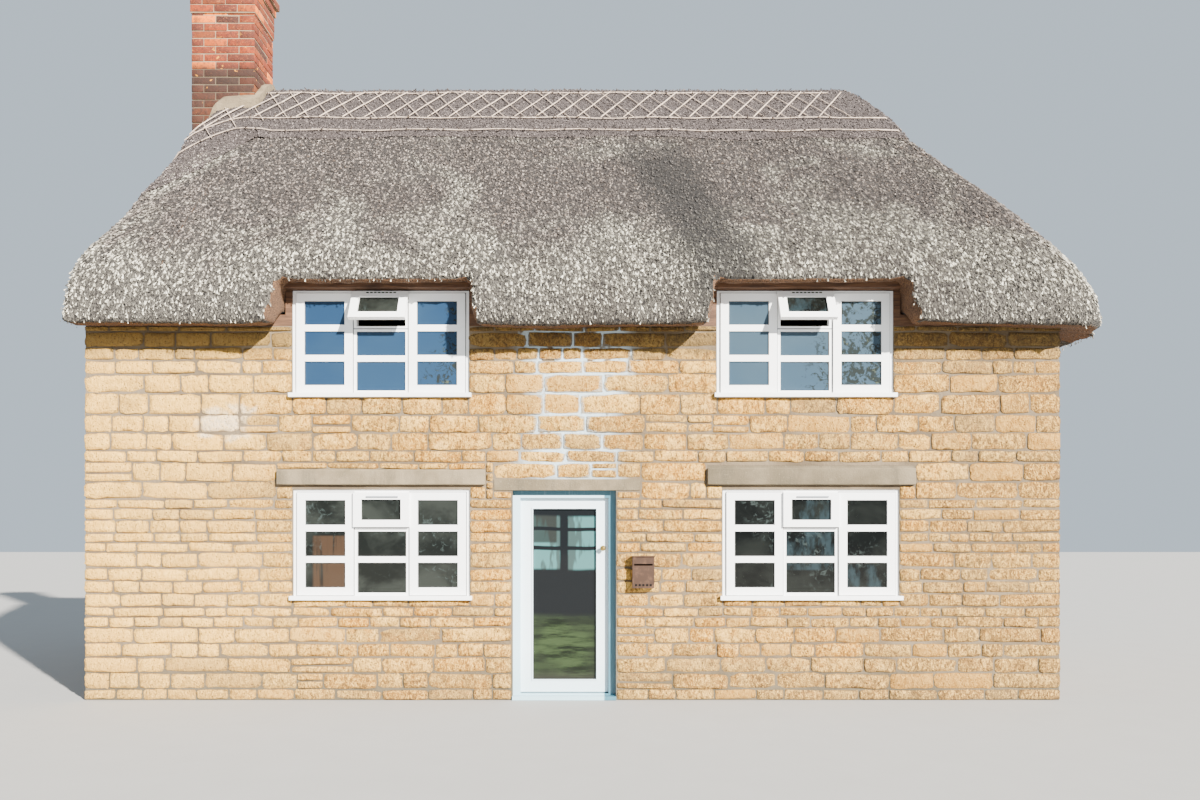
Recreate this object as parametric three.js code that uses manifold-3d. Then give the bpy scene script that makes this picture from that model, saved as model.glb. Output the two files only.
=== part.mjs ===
// A thatched stone cottage: rubble walls, a hipped thatch with hoods over the upper windows, a raised
// ridge cap, a brick end chimney, white casement windows and one glazed door that opens inwards.
// Millimetres, +Z up, front towards -Y. The origin is on the ground under the middle of the thatch.
import * as THREE from "three";
import { mergeVertices } from "three/addons/utils/BufferGeometryUtils.js";
import Module from "manifold-3d";

const wasm = await Module();
wasm.setup();

// Walls
const wall = { left: -4407, right: 4133, front: -2500, back: 2500, thick: 500, top: 3280 };
const inner = {
  left: wall.left + wall.thick,
  right: wall.right - wall.thick,
  front: wall.front + wall.thick,
  back: wall.back - wall.thick,
};
const floorTop = 40;
const upperFloor = { bottom: 2080, top: 2240 };
const breast = { width: 1300, depth: 230 };

// Doorway and door
const door = { middle: -209, width: 910, height: 1840, recess: 60, frameDepth: 90, member: 65, sill: 46 };
const leaf = { thick: 44, lap: 12, bottom: 55, gap: 6, glassWidth: 564, glassBottom: 165, glassTop: 1680 };

// Windows: an opening is as wide as its frame
const windowSpan = 1550;
const upperWindow = { bottom: 2654, height: 938 };
const lowerWindow = { bottom: 878, height: 968 };
const upperCentres = [-1819, 1905];
const lowerCentres = [-1812, 1956];
const backCentres = [-2000, 2000];
const backUpper = { span: 1060, bottom: 2420, height: 740 };

// Wall plate and the timber surround of a hooded window
const plate = { height: 100, depth: 100 };
const surround = { studWidth: 60, headHeight: 55, headFront: -80, headBack: 280 };

// Thatch: plan of the eaves, ridge line and the rise between them
// The left end is a half-hip: its slope would reach the eaves' height at eaves.left, but the thatch
// stops at the verge, over a stone gable.
const eaves = { left: -5112, right: 4463, front: -2820, back: 2820, lip: 3220, soffit: 3270 };
const verge = -4463;
const gableTop = 4700;
const cornerRadius = 350;
const ridge = { left: -3912, right: 2880, top: 6480, rounding: 60 };
const slopeRise = 2885;
const noseShare = 0.17;
const innerRidge = { left: -3622, right: 2790, top: 5980 };
const innerHipFoot = -4705;
const endSag = { from: -3650, run: 800, drop: 225 };
const endPart = -3680;
const capThick = 60;
const capStart = 0.68;
const capStartAtChimney = 0.47;
const hood = { top: 3655, topHalf: 832, bottomHalf: 950, corner: 90, depth: 460 };

// Chimney
const stack = { left: -4402, right: -3717, front: -400, back: 160, bandZ: 7210, top: 7480 };
const cap = { top: 7750, step: 30, course: 90 };
const flue = { side: 230, bottom: 6000 };
const fit = 0.3;

const materials = {
  stone: new THREE.MeshStandardMaterial({ color: 0xd9bd86, roughness: 0.95 }),
  lintelStone: new THREE.MeshStandardMaterial({ color: 0xa89e8a, roughness: 0.9 }),
  thatch: new THREE.MeshStandardMaterial({ color: 0x8a8078, roughness: 1.0 }),
  capThatch: new THREE.MeshStandardMaterial({ color: 0x988a80, roughness: 1.0 }),
  brick: new THREE.MeshStandardMaterial({ color: 0xa8543a, roughness: 0.9 }),
  mortar: new THREE.MeshStandardMaterial({ color: 0xb9ac98, roughness: 0.95 }),
  timber: new THREE.MeshStandardMaterial({ color: 0x9a6a4a, roughness: 0.85 }),
  boards: new THREE.MeshStandardMaterial({ color: 0x9c8262, roughness: 0.8 }),
  flagstone: new THREE.MeshStandardMaterial({ color: 0x8f8778, roughness: 0.9 }),
  whitePaint: new THREE.MeshStandardMaterial({ color: 0xf2f3f2, roughness: 0.35 }),
  doorPaint: new THREE.MeshStandardMaterial({ color: 0xcfe3e4, roughness: 0.4 }),
  framePaint: new THREE.MeshStandardMaterial({ color: 0x9fc4c6, roughness: 0.45 }),
  glass: new THREE.MeshStandardMaterial({ color: 0x6f8797, roughness: 0.05, transparent: true, opacity: 0.4 }),
  brass: new THREE.MeshStandardMaterial({ color: 0xb08d3c, roughness: 0.3, metalness: 1 }),
  brownMetal: new THREE.MeshStandardMaterial({ color: 0x7a5a44, roughness: 0.5, metalness: 0.6 }),
};

const cottage = new THREE.Group();

function addMesh(name, geometry, material) {
  const mesh = new THREE.Mesh(geometry, material);
  mesh.name = name;
  cottage.add(mesh);
  return mesh;
}

// A closed geometry as a solid, and back again
function toSolid(geometry) {
  const bare = new THREE.BufferGeometry();
  bare.setAttribute("position", geometry.getAttribute("position"));
  if (geometry.index) bare.setIndex(geometry.index);
  const merged = mergeVertices(bare, 1e-3);
  const vertProperties = new Float32Array(merged.getAttribute("position").array);
  const triVerts = new Uint32Array(merged.index.array);
  return new wasm.Manifold(new wasm.Mesh({ numProp: 3, vertProperties, triVerts }));
}

function toGeometry(solid) {
  const mesh = solid.getMesh();
  const geometry = new THREE.BufferGeometry();
  geometry.setAttribute("position", new THREE.BufferAttribute(new Float32Array(mesh.vertProperties), 3));
  geometry.setIndex(new THREE.BufferAttribute(new Uint32Array(mesh.triVerts), 1));
  geometry.computeVertexNormals();
  return geometry;
}

function joined(solids) {
  return solids.reduce((sum, solid) => sum.add(solid));
}

// A box between two corners
function boxGeometry(x0, x1, y0, y1, z0, z1) {
  const geometry = new THREE.BoxGeometry(x1 - x0, y1 - y0, z1 - z0);
  geometry.translate((x0 + x1) / 2, (y0 + y1) / 2, (z0 + z1) / 2);
  return geometry;
}

function boxSolid(...corners) {
  return toSolid(boxGeometry(...corners));
}

function rectangle(x0, x1, z0, z1) {
  const outline = new THREE.Shape();
  outline.moveTo(x0, z0);
  outline.lineTo(x1, z0);
  outline.lineTo(x1, z1);
  outline.lineTo(x0, z1);
  outline.closePath();
  return outline;
}

// An upright sheet: an outline in X and Z with rectangular holes, from y0 back to y1
function uprightSheet(outline, holes, y0, y1) {
  const geometry = new THREE.ExtrudeGeometry(outline, { depth: y1 - y0, bevelEnabled: false, curveSegments: 6 });
  geometry.rotateX(Math.PI / 2);
  geometry.translate(0, y1, 0);
  const cut = (solid, [x0, x1, z0, z1]) => solid.subtract(boxSolid(x0, x1, y0 - 50, y1 + 50, z0, z1));
  return holes.reduce(cut, toSolid(geometry));
}

// Turned to the back wall by half a turn about Z
function facingBack(geometry) {
  return geometry.clone().rotateZ(Math.PI);
}

// The walls, with their window openings; the upper front windows break through the wall top
function addWalls() {
  const doorLeft = door.middle - door.width / 2;
  const doorRight = door.middle + door.width / 2;
  const half = windowSpan / 2;
  const frontPiece = (name, x0, x1, upperX, lowerX) => {
    const outline = new THREE.Shape();
    outline.moveTo(x0, 0);
    outline.lineTo(x1, 0);
    outline.lineTo(x1, wall.top);
    outline.lineTo(upperX + half, wall.top);
    outline.lineTo(upperX + half, upperWindow.bottom);
    outline.lineTo(upperX - half, upperWindow.bottom);
    outline.lineTo(upperX - half, wall.top);
    outline.lineTo(x0, wall.top);
    outline.closePath();
    const lowerTop = lowerWindow.bottom + lowerWindow.height;
    const holes = [[lowerX - half, lowerX + half, lowerWindow.bottom, lowerTop]];
    let solid = uprightSheet(outline, holes, wall.front, inner.front);
    // The window lintel and the door lintel are let into the outer face.
    lintels.forEach((box) => (solid = solid.subtract(boxSolid(...box))));
    addMesh(name, toGeometry(solid), materials.stone);
  };
  frontPiece("front_wall_left", wall.left, doorLeft, upperCentres[0], lowerCentres[0]);
  frontPiece("front_wall_right", doorRight, wall.right, upperCentres[1], lowerCentres[1]);
  let overDoor = boxSolid(doorLeft, doorRight, wall.front, inner.front, door.height, wall.top);
  overDoor = overDoor.subtract(boxSolid(...lintels[2]));
  addMesh("front_wall_over_door", toGeometry(overDoor), materials.stone);

  const backHoles = backCentres.flatMap((x) => [
    [x - half, x + half, lowerWindow.bottom, lowerWindow.bottom + lowerWindow.height],
    [x - backUpper.span / 2, x + backUpper.span / 2, backUpper.bottom, backUpper.bottom + backUpper.height],
  ]);
  const backOutline = rectangle(wall.left, wall.right, 0, wall.top);
  let back = uprightSheet(backOutline, backHoles, inner.back, wall.back);
  backLintels.forEach((box) => (back = back.subtract(boxSolid(...box))));
  addMesh("back_wall", toGeometry(back), materials.stone);

  const endBack = wall.back - wall.thick;
  const leftWall = boxSolid(wall.left, inner.left, inner.front, endBack, 0, wall.top);
  const breastMiddle = (stack.front + stack.back) / 2;
  const chimneyBreast = boxSolid(
    inner.left - 10,
    inner.left + breast.depth,
    breastMiddle - breast.width / 2,
    breastMiddle + breast.width / 2,
    0,
    gableTop - fit,
  );
  const side = wall.front + plate.depth;
  const underThatch = toSolid(roofVoid()).add(gableVoid()).translate([0, 0, -fit]);
  const gable = boxSolid(wall.left, inner.left, side, -side, wall.top, gableTop).intersect(underThatch);
  addMesh("left_gable_wall", toGeometry(joined([leftWall, gable, chimneyBreast])), materials.stone);
  addMesh("right_end_wall", boxGeometry(inner.right, wall.right, inner.front, endBack, 0, wall.top), materials.stone);
}

// The floors fit inside the walls and round the chimney breast
function addFloors() {
  const breastMiddle = (stack.front + stack.back) / 2;
  const notch = (z0, z1) =>
    boxSolid(
      inner.left - 10,
      inner.left + breast.depth,
      breastMiddle - breast.width / 2,
      breastMiddle + breast.width / 2,
      z0 - 10,
      z1 + 10,
    );
  const slab = (z0, z1) => boxSolid(inner.left, inner.right, inner.front, inner.back, z0, z1).subtract(notch(z0, z1));
  // The ground floor runs out through the doorway to the back of the door frame.
  const half = door.width / 2;
  const frameBackFace = wall.front + door.recess + door.frameDepth;
  const threshold = boxSolid(
    door.middle - half,
    door.middle + half,
    frameBackFace,
    inner.front + 10,
    0,
    floorTop,
  );
  addMesh("ground_floor", toGeometry(slab(0, floorTop).add(threshold)), materials.flagstone);
  addMesh("upper_floor", toGeometry(slab(upperFloor.bottom, upperFloor.top)), materials.boards);
}

// Lintels over the lower windows stand proud of the wall; the door lintel is nearly flush
const windowLintel = { half: 910, bottom: 1887, height: 170, proud: 38, bedded: 180 };
const doorLintel = { left: -822, right: 456, height: 96, proud: 8, bedded: 180 };
const lintelBox = (x) => [
  x - windowLintel.half,
  x + windowLintel.half,
  wall.front - windowLintel.proud,
  wall.front + windowLintel.bedded,
  windowLintel.bottom,
  windowLintel.bottom + windowLintel.height,
];
const turned = ([x0, x1, y0, y1, z0, z1]) => [-x1, -x0, -y1, -y0, z0, z1];
const lintels = [
  lintelBox(lowerCentres[0]),
  lintelBox(lowerCentres[1]),
  [
    doorLintel.left,
    doorLintel.right,
    wall.front - doorLintel.proud,
    wall.front + doorLintel.bedded,
    door.height,
    door.height + doorLintel.height,
  ],
];
const backLintels = backCentres.map((x) => turned(lintelBox(-x)));

function addLintels() {
  ["left_window_lintel", "right_window_lintel", "door_lintel"].forEach((name, i) =>
    addMesh(name, boxGeometry(...lintels[i]), materials.lintelStone),
  );
  ["back_left_lintel", "back_right_lintel"].forEach((name, i) =>
    addMesh(name, boxGeometry(...backLintels[i]), materials.lintelStone),
  );
}

// Wall plates on the wall tops, broken at the hooded windows
function addPlates() {
  const half = windowSpan / 2;
  const z = [wall.top, wall.top + plate.height];
  const runs = {
    front_plate_left: [wall.left, upperCentres[0] - half],
    front_plate_middle: [upperCentres[0] + half, upperCentres[1] - half],
    front_plate_right: [upperCentres[1] + half, wall.right],
  };
  for (const [name, [x0, x1]] of Object.entries(runs)) {
    addMesh(name, boxGeometry(x0, x1, wall.front, wall.front + plate.depth, ...z), materials.timber);
  }
  const back = boxGeometry(wall.left, wall.right, wall.back - plate.depth, wall.back, ...z);
  addMesh("back_plate", back, materials.timber);
}

// The head over a hooded window and its two studs, pegged into one frame
function addSurrounds() {
  const half = windowSpan / 2;
  const outer = half + surround.studWidth;
  const headBottom = hood.top - surround.headHeight;
  ["left_hood_surround", "right_hood_surround"].forEach((name, i) => {
    const x = upperCentres[i];
    const head = boxSolid(
      x - outer,
      x + outer,
      wall.front + surround.headFront,
      wall.front + surround.headBack,
      headBottom,
      hood.top,
    );
    const stud = (x0, x1) =>
      boxSolid(x0, x1, wall.front, wall.front + plate.depth, wall.top + plate.height, headBottom + 5);
    const studs = [stud(x - outer, x - half), stud(x + half, x + outer)];
    addMesh(name, toGeometry(joined([head, ...studs])), materials.timber);
  });
}

// Sizes shared by the windows: a frame, two side casements, a centre light and a top vent above it
const frameFront = 15;
const frameBack = 85;
const glassFront = 40;
const glassThick = 6;
const sash = { width: 495, side: 34, top: 24, bottom: 40, stile: 71, rail: 68, bar: 56 };
const centre = { half: 214.5, bar: 54, transom: 46 };
const vent = { height: 303, rail: 62, thick: 36, open: Math.PI / 6 };
const sill = { height: 36, nose: 46, horn: 22 };
const backSash = { side: 70, bar: 54 };

// Heights of the pane edges of a side casement, three panes high
function paneRows(z0, z1) {
  const rows = 3;
  const pane = (z1 - z0 - 2 * sash.rail - (rows - 1) * sash.bar) / rows;
  return Array.from({ length: rows }, (_, i) => {
    const low = z0 + sash.rail + i * (pane + sash.bar);
    return [low, low + pane];
  });
}

function addFrontWindow(name, x, { bottom, height }, ventIsOpen) {
  const half = windowSpan / 2;
  const face = wall.front;
  const top = bottom + height;
  const sashBottom = bottom + sash.bottom;
  const sashTop = top - sash.top;
  const rows = paneRows(sashBottom, sashTop);
  const middleTop = rows[1][1];
  const ventBottom = sashTop - vent.height;
  const ventHole = [x - centre.half, x + centre.half, middleTop + centre.transom, sashTop - 20];
  const lights = [-1, 1].map((side) => {
    const edge = x + side * (half - sash.side);
    const innerEdge = edge - side * sash.width;
    return [Math.min(edge, innerEdge), Math.max(edge, innerEdge)];
  });
  const centrePanes = [
    [x - centre.half, x + centre.half, sashBottom + 22, rows[0][1]],
    [x - centre.half, x + centre.half, rows[0][1] + centre.bar, middleTop],
  ];
  const behindSash = lights.map(([x0, x1]) => [x0 + 40, x1 - 40, sashBottom + 40, sashTop - 40]);

  const bars = uprightSheet(
    rectangle(x - half, x + half, bottom, top),
    [...centrePanes, ventHole, ...behindSash],
    face + frameFront,
    face + frameBack,
  );
  const nose = boxSolid(
    x - half - sill.horn,
    x + half + sill.horn,
    face - sill.nose,
    face,
    bottom,
    bottom + sill.height,
  );
  const sillBed = boxSolid(x - half, x + half, face - 5, face + frameFront + 5, bottom, bottom + sill.height);
  let frame = joined([bars, nose, sillBed]);
  lights.forEach(([x0, x1]) => {
    const rebate = [x0 - fit, x1 + fit, face - 1, face + glassFront + fit, sashBottom - fit, sashTop + fit];
    frame = frame.subtract(boxSolid(...rebate));
  });

  // One sheet of glass behind the casements and the centre panes, notched round an open vent
  const glassEdge = half - sash.side - sash.stile + 12;
  const low = rows[0][0] - 26;
  const high = rows[2][1] + 12;
  const glassOutline = new THREE.Shape();
  glassOutline.moveTo(x - glassEdge, low);
  glassOutline.lineTo(x + glassEdge, low);
  glassOutline.lineTo(x + glassEdge, high);
  if (ventIsOpen) {
    const notchHalf = centre.half + 12;
    glassOutline.lineTo(x + notchHalf, high);
    glassOutline.lineTo(x + notchHalf, middleTop + 14);
    glassOutline.lineTo(x - notchHalf, middleTop + 14);
    glassOutline.lineTo(x - notchHalf, high);
  }
  glassOutline.lineTo(x - glassEdge, high);
  glassOutline.closePath();
  const y0 = face + glassFront + fit;
  const glass = uprightSheet(glassOutline, [], y0, y0 + glassThick);
  const slot = [x - glassEdge - fit, x + glassEdge + fit, y0 - fit, y0 + glassThick + fit, low - fit, high + fit];
  frame = frame.subtract(boxSolid(...slot));
  addMesh(name + "_frame", toGeometry(frame), materials.whitePaint);
  addMesh(name + "_glass", toGeometry(glass), materials.glass);

  lights.forEach(([x0, x1], i) => {
    const holes = rows.map(([z0, z1]) => [x0 + sash.stile, x1 - sash.stile, z0, z1]);
    const casement = uprightSheet(rectangle(x0, x1, sashBottom, sashTop), holes, face, face + glassFront);
    addMesh(name + (i ? "_right_casement" : "_left_casement"), toGeometry(casement), materials.whitePaint);
  });

  // The vent is hung from its top back edge; its pane is a web as thin as glass
  const ventHalf = (lights[1][0] - lights[0][1]) / 2 - 1;
  const ring = uprightSheet(
    rectangle(-ventHalf, ventHalf, -vent.height, 0),
    [[-ventHalf + vent.rail + 10, ventHalf - vent.rail - 10, -vent.height + vent.rail, -vent.rail]],
    -vent.thick,
    0,
  );
  const web = boxSolid(
    -ventHalf + vent.rail,
    ventHalf - vent.rail,
    -vent.thick / 2,
    -vent.thick / 2 + glassThick,
    -vent.height + vent.rail - 10,
    -vent.rail + 10,
  );
  const ventMesh = addMesh(name + "_vent", toGeometry(ring.add(web)), materials.whitePaint);
  ventMesh.position.set(x, face + frameFront - fit, sashTop - 2);
  if (ventIsOpen) ventMesh.rotation.x = -vent.open;
}

// Back windows keep their bars in one frame; the upper ones have two lights
function addBackWindow(name, x, span, { bottom, height }, columns, rows) {
  const top = bottom + height;
  const light = (span - 2 * backSash.side - (columns - 1) * backSash.bar) / columns;
  const pane = (height - 2 * backSash.side - (rows - 1) * backSash.bar) / rows;
  const holes = [];
  for (let c = 0; c < columns; c++) {
    for (let r = 0; r < rows; r++) {
      const x0 = -span / 2 + backSash.side + c * (light + backSash.bar);
      const z0 = bottom + backSash.side + r * (pane + backSash.bar);
      holes.push([x0, x0 + light, z0, z0 + pane]);
    }
  }
  const face = wall.front;
  const bars = uprightSheet(
    rectangle(-span / 2, span / 2, bottom, top),
    holes,
    face + frameFront,
    face + frameBack,
  );
  const nose = boxSolid(
    -span / 2 - sill.horn,
    span / 2 + sill.horn,
    face - sill.nose,
    face,
    bottom,
    bottom + sill.height,
  );
  const sillBed = boxSolid(-span / 2, span / 2, face - 5, face + frameFront + 5, bottom, bottom + sill.height);
  const edge = backSash.side - 12;
  const y0 = face + glassFront;
  const sheet = [-span / 2 + edge, span / 2 - edge, y0, y0 + glassThick, bottom + edge, top - edge];
  const grown = sheet.map((value, i) => value + (i % 2 ? fit : -fit));
  const frame = joined([bars, nose, sillBed]).subtract(boxSolid(...grown));
  addMesh(name + "_frame", facingBack(toGeometry(frame).translate(-x, 0, 0)), materials.whitePaint);
  addMesh(name + "_glass", facingBack(boxGeometry(...sheet).translate(-x, 0, 0)), materials.glass);
}

// The door frame, and a glazed leaf hung inside it on the left
function addDoor() {
  const x = door.middle;
  const half = door.width / 2;
  const y0 = wall.front + door.recess;
  const y1 = y0 + door.frameDepth;
  const leafBack = y1 - 6;
  const leafFront = leafBack - leaf.thick;
  const clear = half - door.member;
  const leafHalf = clear + leaf.lap;
  const leafTop = door.height - door.member + leaf.lap;
  const frame = uprightSheet(
    rectangle(x - half, x + half, 0, door.height),
    [[x - clear, x + clear, door.sill, door.height - door.member]],
    y0,
    y1,
  );
  const rebate = boxSolid(
    x - leafHalf - leaf.gap,
    x + leafHalf + leaf.gap,
    leafFront - leaf.gap,
    y1 + 10,
    door.sill,
    leafTop + leaf.gap,
  );
  const weatherSill = boxSolid(x - half, x + half, wall.front - 20, y0 + 5, 0, door.sill - 12);
  // A knuckle with a flap to one side; the frame's lower halves carry the leaf's upper ones.
  const knuckle = (z0, z1, flapX0, flapX1, flapY) => {
    const barrel = new THREE.CylinderGeometry(hinge.radius, hinge.radius, z1 - z0, 16);
    barrel.rotateX(Math.PI / 2);
    barrel.translate(hinge.x, hinge.y, (z0 + z1) / 2);
    return toSolid(barrel).add(boxSolid(flapX0, flapX1, flapY, hinge.y + 1, z0, z1));
  };
  const lowerHalves = hinge.heights.map((z) =>
    knuckle(z - hinge.height, z - 0.2, hinge.x - 40, hinge.x, y1 - 1),
  );
  const upperHalves = hinge.heights.map((z) =>
    knuckle(z, z + hinge.height, hinge.x, hinge.x + 30, leafBack - 1),
  );
  const frameSolid = joined([frame.subtract(rebate), weatherSill, ...lowerHalves]);
  addMesh("door_frame", toGeometry(frameSolid), materials.framePaint);

  const glassHalf = leaf.glassWidth / 2;
  const pane = [x - glassHalf - 10, x + glassHalf + 10, 0, 0, leaf.glassBottom - 10, leaf.glassTop + 10];
  pane[2] = leafFront + 18;
  pane[3] = pane[2] + 8;
  const grown = pane.map((value, i) => value + (i % 2 ? fit : -fit));
  const panel = uprightSheet(
    rectangle(x - leafHalf, x + leafHalf, leaf.bottom, leafTop),
    [[x - glassHalf, x + glassHalf, leaf.glassBottom, leaf.glassTop]],
    leafFront,
    leafBack,
  );
  const solid = joined([panel.subtract(boxSolid(...grown)), ...upperHalves]);
  addMesh("door_leaf", toGeometry(solid), materials.doorPaint);
  addMesh("door_glass", boxGeometry(...pane), materials.glass);

  // A round rose, a short neck and a turned knob, as one turning
  const profile = [
    [0, 0],
    [24, 0],
    [24, 4],
    [11, 8],
    [9, 26],
    [20, 34],
    [24, 44],
    [19, 54],
    [0, 57],
  ].map(([r, h]) => new THREE.Vector2(r, h));
  const knob = new THREE.LatheGeometry(profile, 20);
  knob.rotateX(Math.PI);
  knob.translate(x + leafHalf - 62, leafFront, 1330);
  addMesh("door_knob", knob, materials.brass);
}
const hinge = {
  radius: 7,
  height: 50,
  heights: [300, 1560],
  x: door.middle - (door.width / 2 - door.member + leaf.lap) - 3,
  y: wall.front + door.recess + door.frameDepth + 12.5,
};

// A steel letter box on the wall, with a posting slot under its lid
function addLetterBox() {
  const x0 = 387;
  const x1 = x0 + 190;
  const z0 = 985;
  const z1 = z0 + 274;
  const y0 = wall.front - 82;
  const body = boxSolid(x0, x1, y0, wall.front, z0, z1);
  const slot = boxSolid(x0 + 14, x1 - 14, y0 - 10, y0 + 50, z1 - 78, z1 - 62);
  const lid = boxSolid(x0 - 5, x1 + 5, y0 - 8, wall.front, z1 - 2, z1 + 6);
  addMesh("letter_box", toGeometry(joined([body, lid]).subtract(slot)), materials.brownMetal);
}

// Points round the eaves, anticlockwise from above, each with its foot on the ridge line.
// A long side is spread along the ridge; the corners and the ends gather at its two ends.
function eavesRing({ left, right, front, back }, radius, ridgeLine) {
  const ring = [];
  const longSteps = 34;
  const endSteps = 10;
  const cornerSteps = 5;
  const add = (x, y, ridgeX) => ring.push({ x, y, ridgeX });
  const corner = (cx, cy, from, ridgeX) => {
    for (let i = 0; i < cornerSteps; i++) {
      const angle = from + (i / cornerSteps) * (Math.PI / 2);
      add(cx + radius * Math.cos(angle), cy + radius * Math.sin(angle), ridgeX);
    }
  };
  const mix = (a, b, t) => a + (b - a) * t;
  for (let i = 0; i < longSteps; i++) {
    const t = i / longSteps;
    add(mix(left + radius, right - radius, t), front, mix(ridgeLine.left, ridgeLine.right, t));
  }
  corner(right - radius, front + radius, -Math.PI / 2, ridgeLine.right);
  for (let i = 0; i < endSteps; i++) {
    add(right, mix(front + radius, back - radius, i / endSteps), ridgeLine.right);
  }
  corner(right - radius, back - radius, 0, ridgeLine.right);
  for (let i = 0; i < longSteps; i++) {
    const t = i / longSteps;
    add(mix(right - radius, left + radius, t), back, mix(ridgeLine.right, ridgeLine.left, t));
  }
  corner(left + radius, back - radius, Math.PI / 2, ridgeLine.left);
  for (let i = 0; i < endSteps; i++) {
    add(left, mix(back - radius, front + radius, i / endSteps), ridgeLine.left);
  }
  corner(left + radius, front + radius, Math.PI, ridgeLine.left);
  return ring;
}

// Height of the thatch at a share of the way from the eaves to the ridge, with a rounded ridge
function slopeHeight(share) {
  return ridge.top + ridge.rounding - Math.hypot(slopeRise * (1 - share), ridge.rounding);
}

// Rows up the slope as [share, height]: a rolled nose at the eaves, then the straight slope
function slopeRows() {
  const noseSteps = 6;
  const rows = [];
  for (let i = 0; i <= noseSteps; i++) {
    const t = i / noseSteps;
    const height =
      (1 - t) ** 2 * eaves.lip + 2 * t * (1 - t) * slopeHeight(0) + t ** 2 * slopeHeight(noseShare);
    rows.push([noseShare * t ** 2, height]);
  }
  [0.25, 0.35, 0.45, 0.55, 0.65, 0.75, 0.84, 0.9, 0.945, 0.975].forEach((share) =>
    rows.push([share, slopeHeight(share)]),
  );
  return rows;
}

// A closed skin through rings of equal length, capped at both ends on straight ridge lines
function skinOver(rings, firstCap, lastCap) {
  const count = rings[0].length;
  const positions = rings.flat().flat();
  const index = [];
  rings.slice(1).forEach((_, r) => {
    for (let i = 0; i < count; i++) {
      const a = r * count + i;
      const b = r * count + ((i + 1) % count);
      index.push(a, b, b + count, a, b + count, a + count);
    }
  });
  const capRing = (r, pointOf, outward) => {
    const base = positions.length / 3;
    rings[r].forEach((_, i) => positions.push(...pointOf(i)));
    for (let i = 0; i < count; i++) {
      const a = r * count + i;
      const b = r * count + ((i + 1) % count);
      const c = base + ((i + 1) % count);
      const d = base + i;
      index.push(...(outward ? [a, b, c, a, c, d] : [a, c, b, a, d, c]));
    }
  };
  capRing(rings.length - 1, lastCap, true);
  capRing(0, firstCap, false);
  const geometry = new THREE.BufferGeometry();
  geometry.setAttribute("position", new THREE.BufferAttribute(new Float32Array(positions), 3));
  geometry.setIndex(index);
  return closedByMerging(geometry);
}

// Merges shared points and drops the triangles that this flattens
function closedByMerging(geometry) {
  const merged = mergeVertices(geometry, 0.01);
  const old = merged.index.array;
  const kept = [];
  for (let i = 0; i < old.length; i += 3) {
    const [a, b, c] = [old[i], old[i + 1], old[i + 2]];
    if (a !== b && b !== c && a !== c) kept.push(a, b, c);
  }
  merged.setIndex(kept);
  return merged;
}

const outerRing = eavesRing(eaves, cornerRadius, ridge);

// A point on the thatch at a share of the way up, lifted off it by an amount
function thatchPoint(i, share, height, lift = 0) {
  const foot = outerRing[i];
  const x = foot.x + (foot.ridgeX - foot.x) * share;
  const y = foot.y * (1 - share);
  // The straw sinks a little in front of and behind the chimney.
  const past = Math.min(1.2, Math.max(0, (endSag.from - x) / endSag.run));
  const sag = endSag.drop * past ** 2 * 4 * share * (1 - share);
  const length = Math.hypot(foot.x - foot.ridgeX, foot.y);
  const slope = 0.7 * (1 - Math.max(0, share - 0.9) * 10);
  return [
    x + ((foot.x - foot.ridgeX) / length) * lift * slope,
    y + (foot.y / length) * lift * slope,
    height - sag + lift * (share > 0.9 ? 1 : 0.75),
  ];
}

// The thatch filled down to the soffit, as one block
function thatchBlock(lift = 0) {
  const rows = slopeRows();
  const rings = [outerRing.map((foot) => [foot.x, foot.y, eaves.lip])];
  rows.slice(1).forEach(([share, height]) => rings.push(outerRing.map((_, i) => thatchPoint(i, share, height, lift))));
  return skinOver(
    rings,
    () => [0, 0, eaves.lip],
    (i) => [outerRing[i].ridgeX, 0, ridge.top + lift],
  );
}

// The room under the thatch: straight up past the wall plate, then in along the rafters' line
function roofVoid() {
  const shelf = wall.top + plate.height;
  const plan = { left: innerHipFoot, right: wall.right, front: wall.front, back: wall.back };
  const inset = {
    left: innerHipFoot,
    right: plan.right - plate.depth,
    front: plan.front + plate.depth,
    back: plan.back - plate.depth,
  };
  const outer = eavesRing(plan, 0, innerRidge);
  const over = eavesRing(inset, 0, innerRidge);
  const flat = (ring, z) => ring.map(({ x, y }) => [x, y, z]);
  const rings = [flat(outer, eaves.lip - 100), flat(outer, shelf), flat(over, shelf)];
  return skinOver(
    rings,
    () => [0, 0, eaves.lip - 100],
    (i) => [over[i].ridgeX, 0, innerRidge.top],
  );
}

// The room inside the stone gable, flat under the half-hip
function gableVoid() {
  const shelf = wall.top + plate.height;
  const side = -wall.front - plate.depth;
  const topSide = (side * (innerRidge.top - gableTop)) / (innerRidge.top - shelf);
  const outline = new THREE.Shape();
  outline.moveTo(-side, shelf - 50);
  outline.lineTo(side, shelf - 50);
  outline.lineTo(side, shelf);
  outline.lineTo(topSide, gableTop);
  outline.lineTo(-topSide, gableTop);
  outline.lineTo(-side, shelf);
  outline.closePath();
  const depth = 1000;
  const geometry = new THREE.ExtrudeGeometry(outline, { depth, bevelEnabled: false });
  geometry.rotateX(Math.PI / 2);
  geometry.rotateZ(Math.PI / 2);
  geometry.translate(verge - 100, 0, 0);
  return toSolid(geometry);
}

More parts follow.
